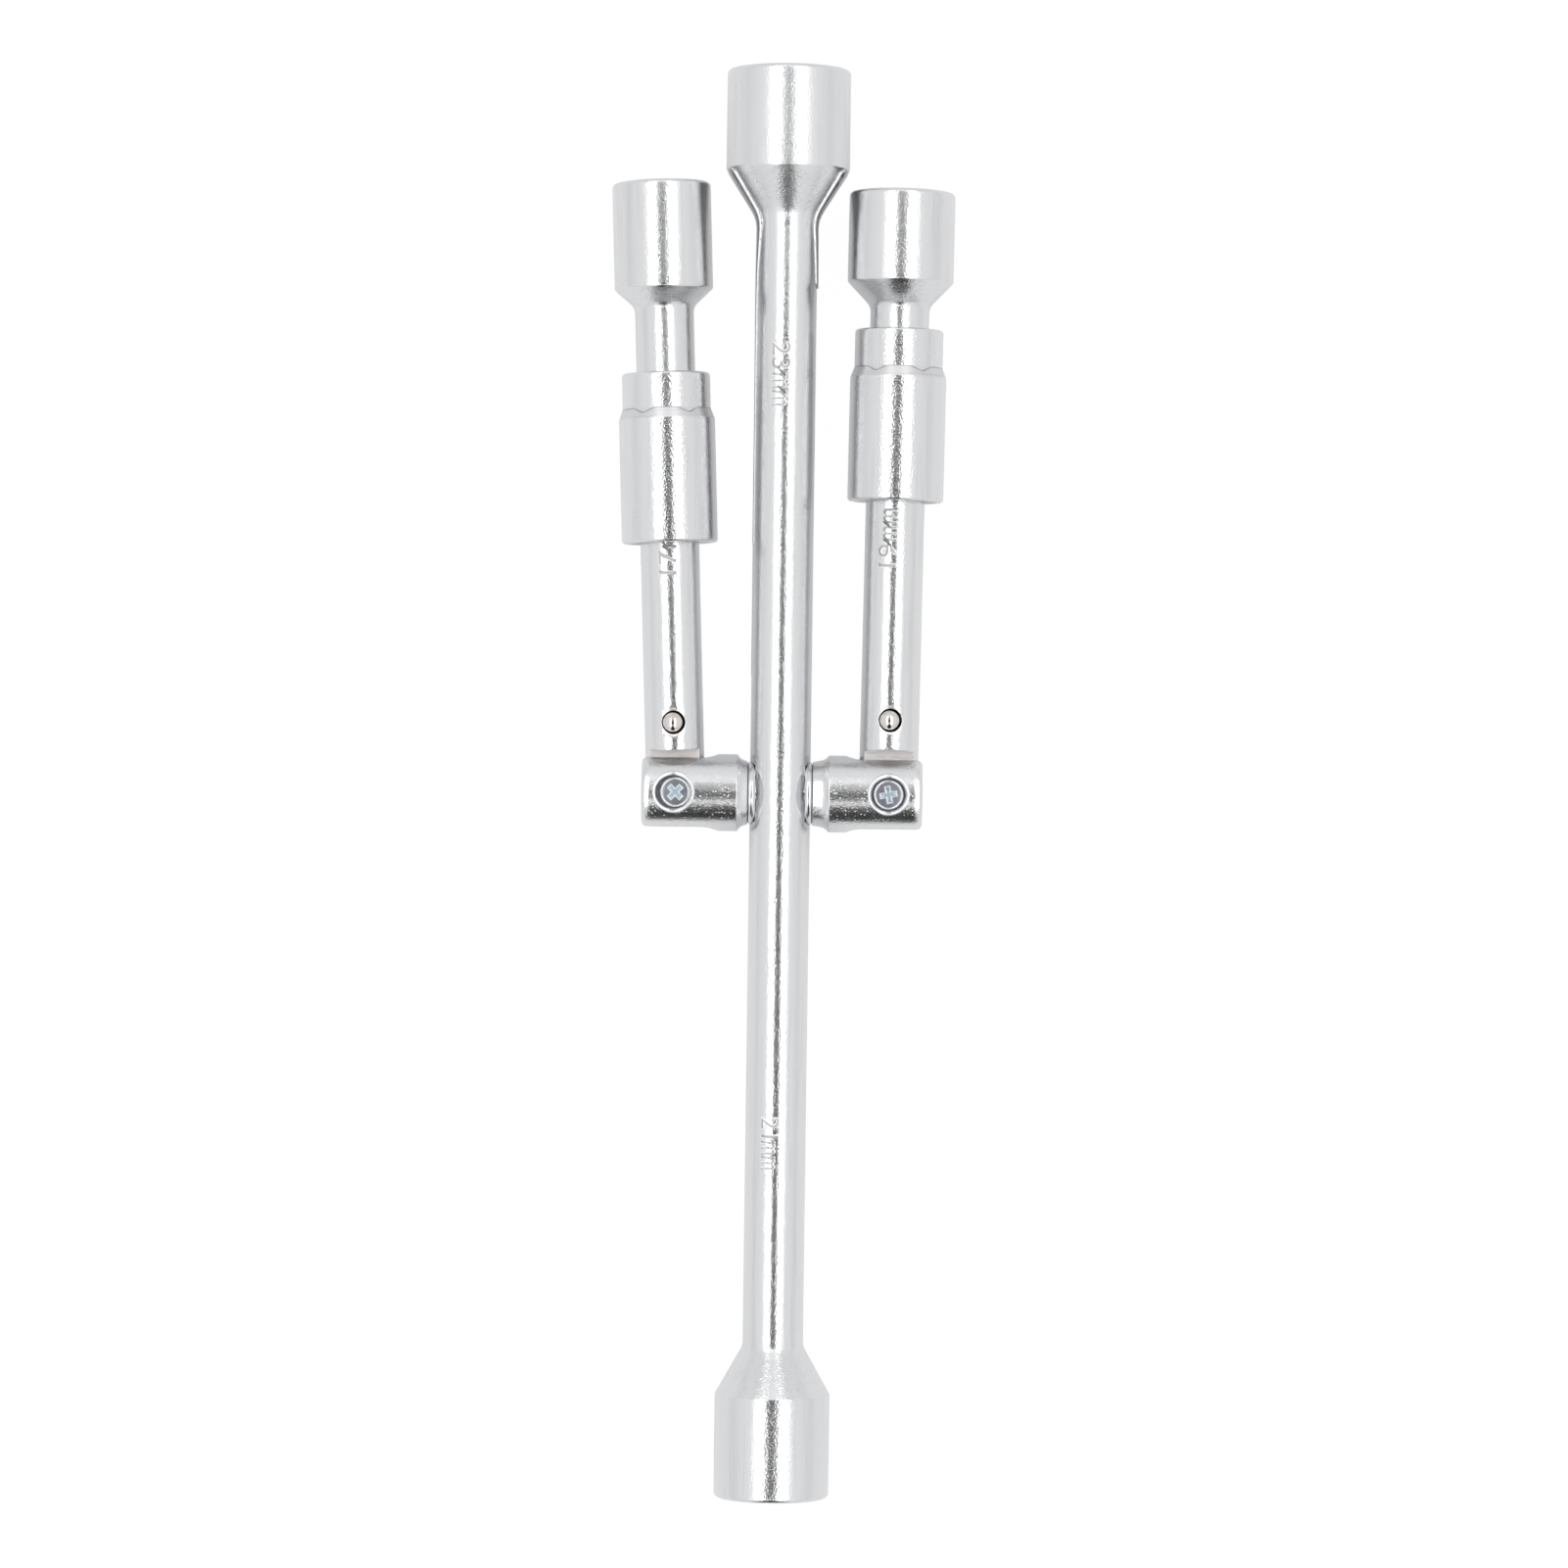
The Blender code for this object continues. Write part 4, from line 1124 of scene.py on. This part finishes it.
@dataclass
class LockSleeve:
    """A lock sleeve: wide body, turned cone and collar, with a stepped bore."""

    hand: Hand
    rest: float
    length: float
    groove: float
    body: float = 0.01225
    collar: float = 0.01125
    bore: float = 0.00785
    wide_bore: float = 0.0101
    wide_depth: float = 0.0193
    groove_radius: float = 0.00865
    groove_half: float = 0.0016
    lead: float = 0.0006
    cone_start: float = 0.0315
    cone_length: float = 0.0027
    lens_half: float = 0.0062
    lens_fall: float = 0.0014
    lens_top_half: float = 0.00285
    lens_line: float = 0.00026
    sector_share: float = 0.86

    @property
    def line(self) -> Line:
        """Its centre line, from its open end."""
        line = CROSS.arm_line(self.hand)
        return line.moved(line.along * self.rest)

    def build(self) -> None:
        """Models the sleeve, with the lenses on its cone and their painted shadow lines."""
        cone = [
            Corner(self.collar, self.cone_start + self.cone_length, 0.0005),
            self.on_cone(self.cone_length - self.lens_line),
            self.on_cone(self.lens_line),
            Corner(self.body, self.cone_start, 0.0004),
        ]
        steps = [
            Corner(self.body, 0, 0.0009),
            Corner(self.wide_bore + self.lead, 0),
            Corner(self.wide_bore, self.lead),
            Corner(self.wide_bore, self.wide_depth, 0.0004),
            Corner(self.bore, self.wide_depth),
            Corner(self.bore, self.groove - self.groove_half),
            Corner(self.groove_radius, self.groove, 0.0008),
            Corner(self.bore, self.groove + self.groove_half),
            Corner(self.bore, self.length - self.lead),
        ]
        mouth = Corner(self.bore + self.lead, self.length)
        corners = [mouth, Corner(self.collar, self.length, 0.0008), *cone, *steps, mouth]
        sleeve = turned(self.hand.word + "_sleeve_turning", outline_of(corners, 0.002), self.line, 128)
        polish(sleeve)
        name = self.hand.word
        dress(sleeve, SLEEVE_FINISH, name + "_sleeve", Slot.SLEEVE, name + "_lock_sleeve")
        self.score_lenses(sleeve)
        paint_where(sleeve, CONE_FINISH, lambda centre, normal: self.lens_depth(centre) > self.lens_line)
        # Painted shadow line along the lenses' outlines.
        paint_where(sleeve, SHADOW_LINE_FINISH, lambda centre, normal: 0 < self.lens_depth(centre) <= self.lens_line)

    def on_cone(self, past: float) -> Corner:
        """The cone's corner at a place past its start."""
        radius = self.body + (self.collar - self.body) * past / self.cone_length
        return Corner(radius, self.cone_start + past)

    @cached_property
    def sectors(self) -> list[tuple[Vector, Vector]]:
        """The six ways out of the axis, each with its sideways direction."""
        along = self.line.along
        ways = [Quaternion(along, index * math.pi / 3) @ Z for index in range(6)]
        return [(out, out.cross(along).normalized()) for out in ways]

    def spoke_at(self, centre: Vector) -> tuple[float, Vector | None]:
        """How far past the cone's start a face lies, and its way out of the axis if it is on the cone."""
        offset = centre - self.line.origin
        along = offset.dot(self.line.along)
        spoke = offset - self.line.along * along
        past = along - self.cone_start
        outside = spoke.length > self.collar - 0.0002
        return past, spoke if outside and 0 < past < self.cone_length else None

    def lens_depth(self, centre: Vector) -> float:
        """How far inside a lens's upper outline a point of the cone lies, and -1 off the cone."""
        past, spoke = self.spoke_at(centre)
        if spoke is None:
            return -1.0
        out, side = max(self.sectors, key=lambda way: spoke.dot(way[0]))
        away = max(0.0, abs(spoke.dot(side)) - self.lens_top_half)
        fall, run = self.lens_fall, self.lens_half - self.lens_top_half
        down = self.cone_length - past
        return min(down, (run * down - fall * away) / math.hypot(run, fall)) if away else down

    def score_lenses(self, sleeve: Piece) -> None:
        """Divides the cone along the lenses' sloping outlines."""
        line = self.line
        run = self.lens_half - self.lens_top_half
        end = line.origin + line.along * (self.cone_start + self.cone_length)
        for out, side in self.sectors:
            for sign in (-1, 1):
                slope = (side * sign * self.lens_fall + line.along * run).normalized()
                corner = end + side * sign * self.lens_top_half
                for inset in (0, self.lens_line):
                    self.open_sector(sleeve, out)
                    bpy.ops.mesh.bisect(plane_co=corner - slope * inset, plane_no=slope)
                    close()

    def open_sector(self, sleeve: Piece, out: Vector) -> None:
        """Opens the sleeve with one sector of its cone selected."""

        def in_sector(face: bpy.types.MeshPolygon) -> bool:
            """Whether a face of the cone lies about this way out of the axis."""
            spoke = self.spoke_at(face.center)[1]
            return spoke is not None and spoke.dot(out) > self.sector_share * spoke.length

        choose(sleeve, in_sector)


@dataclass
class Knuckle:
    """A fork stub beside the bar: slotted fork, neck and spigot."""

    hand: Hand
    neck: tuple[Corner, ...]
    bore_shift: float
    fork: float = 0.0098
    tip: float = 0.0086
    tip_rounding: float = 0.0012
    crown: float = 0.0003
    crown_length: float = 0.0018
    spigot: float = 0.0047
    spigot_end: float = 0.0004
    shoulder: float = 0.0083
    slot_half: float = 0.0043
    slot_root: float = 0.0109
    counterbore: float = 0.00425
    mouth: float = 0.00475
    mouth_start: float = 0.0083
    lip: float = 0.00026
    rear_counterbore: float = 0.00512
    floor: float = 0.0055
    pivot_hole: float = 0.0028

    def build(self) -> None:
        """Models the knuckle."""
        pivot = CROSS.pivot(self.hand)
        corners = [
            Corner(0, pivot + self.tip),
            Corner(self.fork - self.crown, pivot + self.tip, self.tip_rounding),
            Corner(self.fork, pivot + self.tip - self.crown_length, 0.004),
            *self.neck,
            Corner(self.spigot, self.shoulder),
            Corner(self.spigot, self.spigot_end),
            Corner(0, self.spigot_end),
        ]
        name = self.hand.word + "_knuckle"
        piece = turned(name + "_forging", outline_of(corners, 0.0008), CROSS.knuckle_line(self.hand), 144)
        upright = CROSS.pivot_line(self.hand)
        shifted = upright.moved(X * self.bore_shift)
        join(piece, self.raised_lip(piece, shifted), Join.ADD)
        self.cut_slot(piece, pivot)
        top = self.fork + OVERRUN
        flare = (self.mouth - self.counterbore) / (self.fork - self.mouth_start)
        mouth = [(0, top), (self.mouth + flare * OVERRUN, top)]
        bore(piece, mouth + rod(self.counterbore, self.mouth_start, self.floor)[1:], shifted, 96)
        hole = rod(self.pivot_hole, self.floor + OVERRUN, -self.floor)[:3]
        bore(piece, hole + rod(self.rear_counterbore, -self.floor, -top)[1:], upright, 96)
        polish(piece)
        dress(piece, KNUCKLE_FINISH, "cross", Slot.KNUCKLE, name)

        def on_lip_highlight(centre: Vector, normal: Vector) -> bool:
            """Whether a face is on the counterbore's raised lip, painted bright as a highlight."""
            offset = centre - shifted.origin
            return self.counterbore < offset.xy.length < 0.0056 and offset.yz.length > self.fork + 0.00001

        # Painted highlight on the counterbore's raised lip.
        paint_where(piece, LIP_HIGHLIGHT_FINISH, on_lip_highlight)

    def raised_lip(self, piece: Piece, upright: Line) -> Piece:
        """A bead laid round the place of the counterbore's mouth.

        Args:
            piece: The knuckle that it lies on.
            upright: The counterbore's centre line.

        Returns:
            The bead.
        """
        loop = {"vertices": 96, "radius": self.mouth + 0.0002, "location": upright.at(0, 0.02)}
        let_down(settle(fresh("lip_bead", bpy.ops.mesh.primitive_circle_add, **loop)), piece, 0.00005)
        bpy.ops.object.convert(target="CURVE")
        bpy.context.object.data.bevel_depth = self.lip
        bpy.context.object.data.bevel_resolution = 2
        bpy.ops.object.convert(target="MESH")
        edit()
        clean()
        return bpy.context.object

    def cut_slot(self, piece: Piece, pivot: float) -> None:
        """Mills the fork's slot, with a round root."""
        sign = self.hand.value
        root = pivot - self.slot_root + self.slot_half
        wide = self.fork + OVERRUN
        root_line = Line(CROSS.centre + X * sign * root, Y, Z)
        tool = turned("slot_root", rod(self.slot_half, wide, -wide), root_line, 64)
        ends = sorted((sign * root, sign * (pivot + self.tip + OVERRUN)))
        low = CROSS.centre + Vector((ends[0], -wide, -self.slot_half))
        high = CROSS.centre + Vector((ends[1], wide, self.slot_half))
        join(tool, slab("slot", (low + high) / 2, high - low), Join.ADD)
        join(piece, tool)


@dataclass
class SeatRings:
    """The chamfered rings between the knuckles and the bar."""

    outer: float = 0.0081
    inner: float = 0.005
    low: float = 0.0063
    high: float = 0.00828
    chamfer: float = 0.0009

    def build(self) -> None:
        """Models one ring and copies it to the other side."""
        outline = ring(self.inner, self.outer, self.low, self.high, self.chamfer)
        left = turned("left_ring_turning", outline, CROSS.knuckle_line(Hand.LEFT), 96)
        polish(left)
        right = copy_of(left, "right_ring_turning", Vector(), math.pi, CROSS.centre)
        for piece, hand in ((left, Hand.LEFT), (right, Hand.RIGHT)):
            dress(piece, RING_FINISH, "cross", Slot.RING, hand.word + "_weld_ring")


@dataclass
class PivotHardware:
    """The screws, washers and nuts of the hinges."""

    shank: float = 0.0025
    head: float = 0.0039
    under: float = 0.0065
    top: float = 0.0081
    end: float = -0.0084
    washer: tuple[float, float, float] = (0.0047, 0.0057, 0.0063)
    lock: tuple[float, float, float] = (0.0044, -0.0063, -0.0057)
    split_half: float = 0.00035
    nut_flats: float = 0.008
    nut_low: float = -0.0085
    nut_high: float = -0.0065
    clearance: float = 0.0003
    recess: tuple[float, float, float] = (0.0060, 0.0012, 0.0024)
    recess_edge: tuple[float, float, float] = (0.0046, 0.0016, 0.0004)
    line: Line = CROSS.pivot_line(Hand.LEFT)

    def build(self) -> None:
        """Models the left hinge's set and copies it to the right, turned as it was tightened."""
        across = CROSS.hinge(Hand.RIGHT) - CROSS.hinge(Hand.LEFT)
        screw, washer = self.screw(), self.washer_ring("left_washer_blank", self.washer)
        made = (
            (screw, "pivot_screw", ZINC_FINISH, Slot.SCREW, math.radians(-35)),
            (washer, "pivot_washer", ZINC_FINISH, Slot.SCREW, 0.3),
            (self.lock_washer(), "lock_washer", NUT_FINISH, Slot.NUT, 1.1),
            (self.nut(), "pivot_nut", NUT_FINISH, Slot.NUT, 0.4),
        )
        for piece, word, finish, slot, turn in made:
            other = copy_of(piece, "right_" + piece.name[5:], across, turn, self.line.origin)
            dress(piece, finish, "cross", slot, "left_" + word)
            dress(other, finish, "cross", slot, "right_" + word)
            if word == "pivot_screw":
                self.paint_screw(piece, Hand.LEFT)
                self.paint_screw(other, Hand.RIGHT)

    def screw(self) -> Piece:
        """The left screw, with a rounded head and a cross recess."""
        corners = [
            Corner(0, self.top),
            Corner(self.head, self.top - 0.00015, 0.0008),
            Corner(self.head, self.under, 0.0002),
            Corner(self.shank, self.under),
            Corner(self.shank, self.end + 0.0003, 0.0001),
            Corner(self.shank - 0.0003, self.end),
            Corner(0, self.end),
        ]
        screw = turned("left_screw_upset", outline_of(corners, 0.001), self.line, 72)
        middle = self.line.at(0, self.top)
        for turn in (45, 135):
            for size in (self.recess_edge, self.recess):
                arm = slab("recess", middle, size)
                if size is self.recess:
                    choose(arm, lambda vertex: vertex.co.z < middle.z, "VERT")
                    bpy.ops.transform.resize(value=(0.4, 0.6, 1), center_override=self.line.origin)
                    close()
                join(screw, swing(arm, math.radians(turn), self.line.origin))
        polish(screw)
        return screw

    def paint_screw(self, screw: Piece, hand: Hand) -> None:
        """Paints highlights on a head's rim and its recess's edge, and tints the recess."""
        middle = CROSS.pivot_line(hand).at(0, self.top)

        def on_rim_highlight(centre: Vector, normal: Vector) -> bool:
            """Whether a face is on the head's rounded rim or the recess's edge, both painted highlights."""
            apart = (centre - middle).xy.length
            rim = apart > self.head - 0.00055 and centre.z > middle.z - 0.0007
            return rim or (apart < 0.0031 and middle.z - 0.00025 < centre.z < middle.z - 0.00016)

        def in_recess(centre: Vector, normal: Vector) -> bool:
            """Whether a face is deep in the recess."""
            return (centre - middle).xy.length < 0.0028 and middle.z - 0.0014 < centre.z < middle.z - 0.00025

        # Painted highlights on the head's rim and the recess's edge; the recess keeps its own tint.
        paint_where(screw, LIP_HIGHLIGHT_FINISH, on_rim_highlight)
        paint_where(screw, RECESS_FINISH, in_recess)

    def washer_ring(self, name: str, size: tuple[float, float, float]) -> Piece:
        """A flat ring with punched edges, from its radius and the heights of its faces."""
        washer = turned(name, ring(self.shank + self.clearance, *size, 0.0001), self.line, 72)
        polish(washer)
        return washer

    def lock_washer(self) -> Piece:
        """The left split washer."""
        washer = self.washer_ring("left_lock_blank", self.lock)
        outer, low, high = self.lock
        near = self.line.at(0, low - OVERRUN) - Y * self.split_half
        far = self.line.at(outer + OVERRUN, high + OVERRUN) + Y * self.split_half
        gap = slab("split", (near + far) / 2, far - near)
        join(washer, swing(gap, math.radians(-45), self.line.origin))
        polish(washer)
        return washer

    def nut(self) -> Piece:
        """The left nut, chamfered on its outer face, with a thread's roots."""
        half, start = self.nut_flats / 2, self.nut_high + OVERRUN
        nut = prism("left_nut_blank", self.line, self.nut_flats, self.nut_low, self.nut_high)
        outside = self.nut_flats / math.sqrt(3) + OVERRUN
        chamfer = self.nut_low + (outside - half) / math.sqrt(3)
        form = [(0, start), (outside, start), (outside, chamfer), (half, self.nut_low), (0, self.nut_low)]
        join(nut, turned("nut_form", form, self.line, 96), Join.KEEP)
        bore(nut, rod(self.shank + self.clearance, start, self.nut_low - OVERRUN), self.line, 48)
        polish(nut)
        return nut


@dataclass
class Detents:
    """The spring balls of the arms and the springs under them."""

    offsets: dict[Hand, float]
    radius: float = 0.003
    height: float = 0.005353
    lean: float = -0.0002
    wire: float = 0.0003
    gap: float = 0.0003
    narrower: float = 0.0005
    floor: float = -0.0045
    turns: int = 5
    press: float = 0.001

    def build(self) -> None:
        """Models one ball and one spring, and copies both."""
        left, right = (CROSS.arm_line(hand).at(0, self.offsets[hand]) for hand in Hand)
        shift = right - left
        ball, spring = self.ball(left), self.spring(left)
        other_ball = copy_of(ball, "right_ball_ground", shift, 0, left)
        other_spring = copy_of(spring, "right_spring_coil", shift, 0, left)
        sets = ((Hand.LEFT, left, ball, spring), (Hand.RIGHT, right, other_ball, other_spring))
        for hand, place, sphere, coil in sets:
            word = hand.word
            dress(sphere, BALL_FINISH, word + "_ball", Slot.BALL, word + "_detent_ball")
            dress(coil, SPRING_FINISH, word + "_arm", Slot.SPRING, word + "_detent_spring")
            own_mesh(coil)

    def coil(self) -> tuple[float, float, float]:
        """The coil's radius and the heights of its lowest and highest turns."""
        apart = self.radius + self.gap + self.wire
        radius = apart - 2 * self.wire - self.narrower
        return radius, self.floor + self.gap + self.wire, self.height - math.sqrt(apart**2 - radius**2)

    def ball(self, place: Vector) -> Piece:
        """The left ball, turned from a half circle."""
        line = Line(place + Vector((self.lean, 0, self.height)), Z, X)
        angles = [math.pi * step / 32 for step in range(1, 32)]
        arc = [(self.radius * math.sin(angle), self.radius * math.cos(angle)) for angle in angles]
        ball = turned("left_ball_ground", [(0, self.radius), *arc, (0, -self.radius)], line, 64)
        polish(ball)
        return ball

    def spring(self, place: Vector) -> Piece:
        """The left spring: a wire's section swept up a coil."""
        radius, low, high = self.coil()
        start = {"location": place + Vector((radius, 0, low)), "rotation": (math.pi / 2, 0, 0)}
        wire = {"vertices": 12, "radius": self.wire, **start}
        spring = settle(fresh("left_spring_coil", bpy.ops.mesh.primitive_circle_add, **wire))
        bpy.ops.object.modifier_add(type="SCREW")
        coil = spring.modifiers[-1]
        coil.screw_offset = (high - low) / self.turns
        coil.iterations = self.turns
        coil.steps = coil.render_steps = 32
        middle = bpy.data.objects.new("coil_middle", None)
        bpy.context.scene.collection.objects.link(middle)
        middle.location = place
        coil.object = middle
        bpy.context.view_layer.update()
        bpy.ops.object.modifier_apply(modifier=coil.name)
        bpy.data.objects.remove(middle, do_unlink=True)
        edit("EDGE")
        bpy.ops.mesh.select_all(action="DESELECT")
        bpy.ops.mesh.select_non_manifold()
        bpy.ops.mesh.edge_face_add()
        face_out()
        bpy.ops.object.shade_smooth_by_angle(angle=math.radians(40))
        return spring


# Studio


@dataclass
class Studio:
    """A pale floor, two softboxes, a dark gap between them and the camera."""

    height: float = 1.5
    gap: float = 0.346
    box_width: float = 0.56
    box_length: float = 3.2
    box_level: float = 1.9
    camera_height: float = 1.375
    camera_shift: Vector = Vector((0.00099, 0.00239, 0))
    lens: float = 123.7
    lean_degrees: float = 0.758
    panel_near: float = -0.6
    panel_far: float = 0.787

    def build(self) -> None:
        """Sets up the floor, the lamps, the cards and the camera."""
        self.set_world()
        self.set_floor()
        for side in (-1, 1):
            self.set_softbox(side)
        self.set_dark_panel()
        self.set_cards()
        self.set_camera()
        bpy.context.scene.view_settings.view_transform = "Standard"

    def set_world(self) -> None:
        """A white surround for what is seen, and a softer one for what it lights."""
        world = bpy.data.worlds.new("studio")
        bpy.context.scene.world = world
        sheet = Sheet.blank(world)
        rise = sheet.part(sheet.add("ShaderNodeTexCoord").outputs["Generated"], "Z")
        level = sheet.ramp(rise, 0.0, 0.5, 0.88, 1.0)
        light = sheet.add("ShaderNodeBackground", (1, 1, 1, 1), 0.7)
        white = sheet.add("ShaderNodeBackground", (1, 1, 1, 1), level)
        path = sheet.add("ShaderNodeLightPath").outputs
        seen = sheet.math("MAXIMUM", path["Is Camera Ray"], path["Is Glossy Ray"])
        seen = sheet.math("MAXIMUM", seen, path["Is Transmission Ray"])
        sheet.add("ShaderNodeOutputWorld", sheet.mix(seen, light, white).outputs[0])

    def set_floor(self) -> None:
        """A pale floor that keeps the object's shadow."""
        coat = bpy.data.materials.new("floor_paper")
        sheet = Sheet.blank(coat)
        paper = sheet.add("ShaderNodeBsdfDiffuse", (0.85, 0.85, 0.85, 1))
        white = sheet.add("ShaderNodeEmission", (1, 1, 1, 1), 1.04)
        path = sheet.add("ShaderNodeLightPath").outputs
        mirrored = sheet.math("MAXIMUM", path["Is Glossy Ray"], path["Is Transmission Ray"])
        share = sheet.math("MAXIMUM", sheet.times(path["Is Camera Ray"], 0.93), sheet.times(mirrored, 0.3))
        sheet.add("ShaderNodeOutputMaterial", sheet.mix(share, paper, white).outputs[0])
        self.card("floor", (8, 8), Vector(), False, coat)

    def set_softbox(self, side: int) -> None:
        """One softbox beside the camera."""
        data = bpy.data.lights.new("softbox", "AREA")
        data.shape = "RECTANGLE"
        data.size = self.box_width
        data.size_y = self.box_length
        data.energy = self.box_level * math.pi * self.box_width * self.box_length
        lamp = bpy.data.objects.new("softbox", data)
        bpy.context.scene.collection.objects.link(lamp)
        lamp.location = (side * (self.gap + self.box_width / 2), 0, self.height)
        lamp.visible_camera = False

    def card(self, name: str, size: Point, place: Vector, upright: bool, coat: Coat) -> Piece:
        """A flat card of the studio.

        Args:
            name: Its name.
            size: Its width and length.
            place: Its middle.
            upright: Whether it stands, and doesn't lie.
            coat: Its material.

        Returns:
            The card.
        """
        turn = (math.pi / 2 if upright else 0, 0, 0)
        obj = fresh(name, bpy.ops.mesh.primitive_plane_add, size=1, location=place, rotation=turn)
        obj.scale = (*size, 1)
        obj.data.materials.append(coat)
        return obj

    def shade(self, name: str, tone: Callable[[Sheet], object]) -> Coat:
        """A plain tone that a card gives back.

        Args:
            name: The material's name.
            tone: Takes the tree and gives the tone's value or socket.

        Returns:
            The material.
        """
        coat = bpy.data.materials.new(name)
        sheet = Sheet.blank(coat)
        glow = sheet.add("ShaderNodeEmission", (1, 1, 1, 1), tone(sheet))
        sheet.add("ShaderNodeOutputMaterial", glow.outputs[0])
        return coat

    def reflected(self, size: Point, place: Vector, upright: bool, coat: Coat) -> None:
        """A card named after its coat, which shows in shiny surfaces and nowhere else."""
        card = self.card(coat.name, size, place, upright, coat)
        card.visible_camera = card.visible_diffuse = card.visible_shadow = False

    def set_dark_panel(self) -> None:
        """The dark gap between the softboxes, paler towards the far end."""
        length = self.panel_far - self.panel_near
        middle = (self.panel_far + self.panel_near) / 2

        def tone(sheet: Sheet) -> Socket:
            """Dark near the middle, pale further on, with a dark hem."""
            along = sheet.math("ADD", sheet.times(sheet.part(sheet.place(), "Y"), length), middle)
            pale = sheet.ramp(along, 0.19, 0.32, 0.02, 0.82)
            beyond = sheet.ramp(along, 0.325, 0.36, 1.0, 0.5)
            hem = sheet.ramp(along, self.panel_far - 0.03, self.panel_far - 0.02, 1.0, 0.55)
            return sheet.times(sheet.times(pale, beyond), hem)

        place = Vector((0, middle, self.height + 0.002))
        self.reflected((2 * self.gap, length), place, False, self.shade("dark_panel", tone))

    def set_cards(self) -> None:
        """A dark card off past the near end, and two greyer ones past the far end."""
        dark = self.shade("dark_card", lambda sheet: 0.02)
        self.reflected((0.58, 1.5), Vector((0, -1.0, 0.75)), True, dark)
        grey = self.shade("grey_card", lambda sheet: 0.84)
        for side in (-1, 1):
            self.reflected((0.7, 1.1), Vector((side * 0.86, 1.5, 1.0)), True, grey)

    def set_camera(self) -> None:
        """The camera straight above the cross, leaning as the picture does."""
        data = bpy.data.cameras.new("camera")
        data.sensor_width = 36
        data.lens = self.lens
        camera = bpy.data.objects.new("camera", data)
        bpy.context.scene.collection.objects.link(camera)
        camera.location = CROSS.centre + self.camera_shift + Z * self.camera_height
        camera.rotation_euler = (0, 0, math.radians(self.lean_degrees))
        bpy.context.scene.camera = camera


def build_marks(bar: Piece, arms: dict[Hand, Piece]) -> None:
    """Raises the sizes: the bar's read downwards and the arms' from the hinge outwards.

    Args:
        bar: The main bar.
        arms: The arms.
    """
    top = CROSS.centre + Vector((-0.00347, 0.1148, 0))
    bottom = CROSS.centre + Vector((-0.00376, -0.08206, 0))
    SizeMark("size_mark_23", "23", top, DOWN_BAR, 0.0072, 0.0008, 0.0086).build(bar, "cross", Slot.BAR)
    SizeMark("size_mark_21", "21", bottom, DOWN_BAR, 0.0056, 0.0006, 0.0074).build(bar, "cross", Slot.BAR)
    left = CROSS.centre + Vector((-0.02675, 0.0552, 0))
    right = CROSS.centre + Vector((0.02889, 0.0576, 0))
    for hand, number, start in ((Hand.LEFT, "17", left), (Hand.RIGHT, "19", right)):
        reading = CROSS.arm_line(hand).along
        mark = SizeMark("size_mark_" + number, number, start, reading, 0.0061, 0.0006, 0.0084)
        mark.build(arms[hand], hand.word + "_arm", Slot.ARM)


def main() -> None:
    """Loads the frame, builds every piece on it and lights it."""
    logging.basicConfig(level=logging.INFO, format="%(name)s: %(message)s")
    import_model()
    bar = MainBar().build()
    arms = (
        FoldingArm(Hand.LEFT, SocketForm(0.017, 0.00274, 0.0271, 47.5, 0.0012, 0.0035), 0.0177, lip=0.0107),
        FoldingArm(Hand.RIGHT, SocketForm(0.019, 0.00253, 0.0229, 43.5, 0.0012, 0.0035), 0.0189),
    )
    shafts = {arm.hand: arm.build() for arm in arms}
    LockSleeve(Hand.LEFT, 0.063476, 0.0433, 0.0281).build()
    LockSleeve(Hand.RIGHT, 0.074731, 0.0438, 0.0293).build()
    left_neck = (Corner(0.0098, 0.01095, 0.0003), Corner(0.0087, 0.0101, 0.0022), Corner(0.0080, 0.0083))
    right_neck = (Corner(0.0098, 0.0124, 0.0003), Corner(0.0087, 0.0115, 0.0026), Corner(0.0081, 0.0083))
    Knuckle(Hand.LEFT, left_neck, -0.0004).build()
    Knuckle(Hand.RIGHT, right_neck, 0.0).build()
    build_marks(bar, shafts)
    SeatRings().build()
    PivotHardware().build()
    Detents({arm.hand: arm.ball for arm in arms}).build()
    Studio().build()


if __name__ == "__main__":
    main()
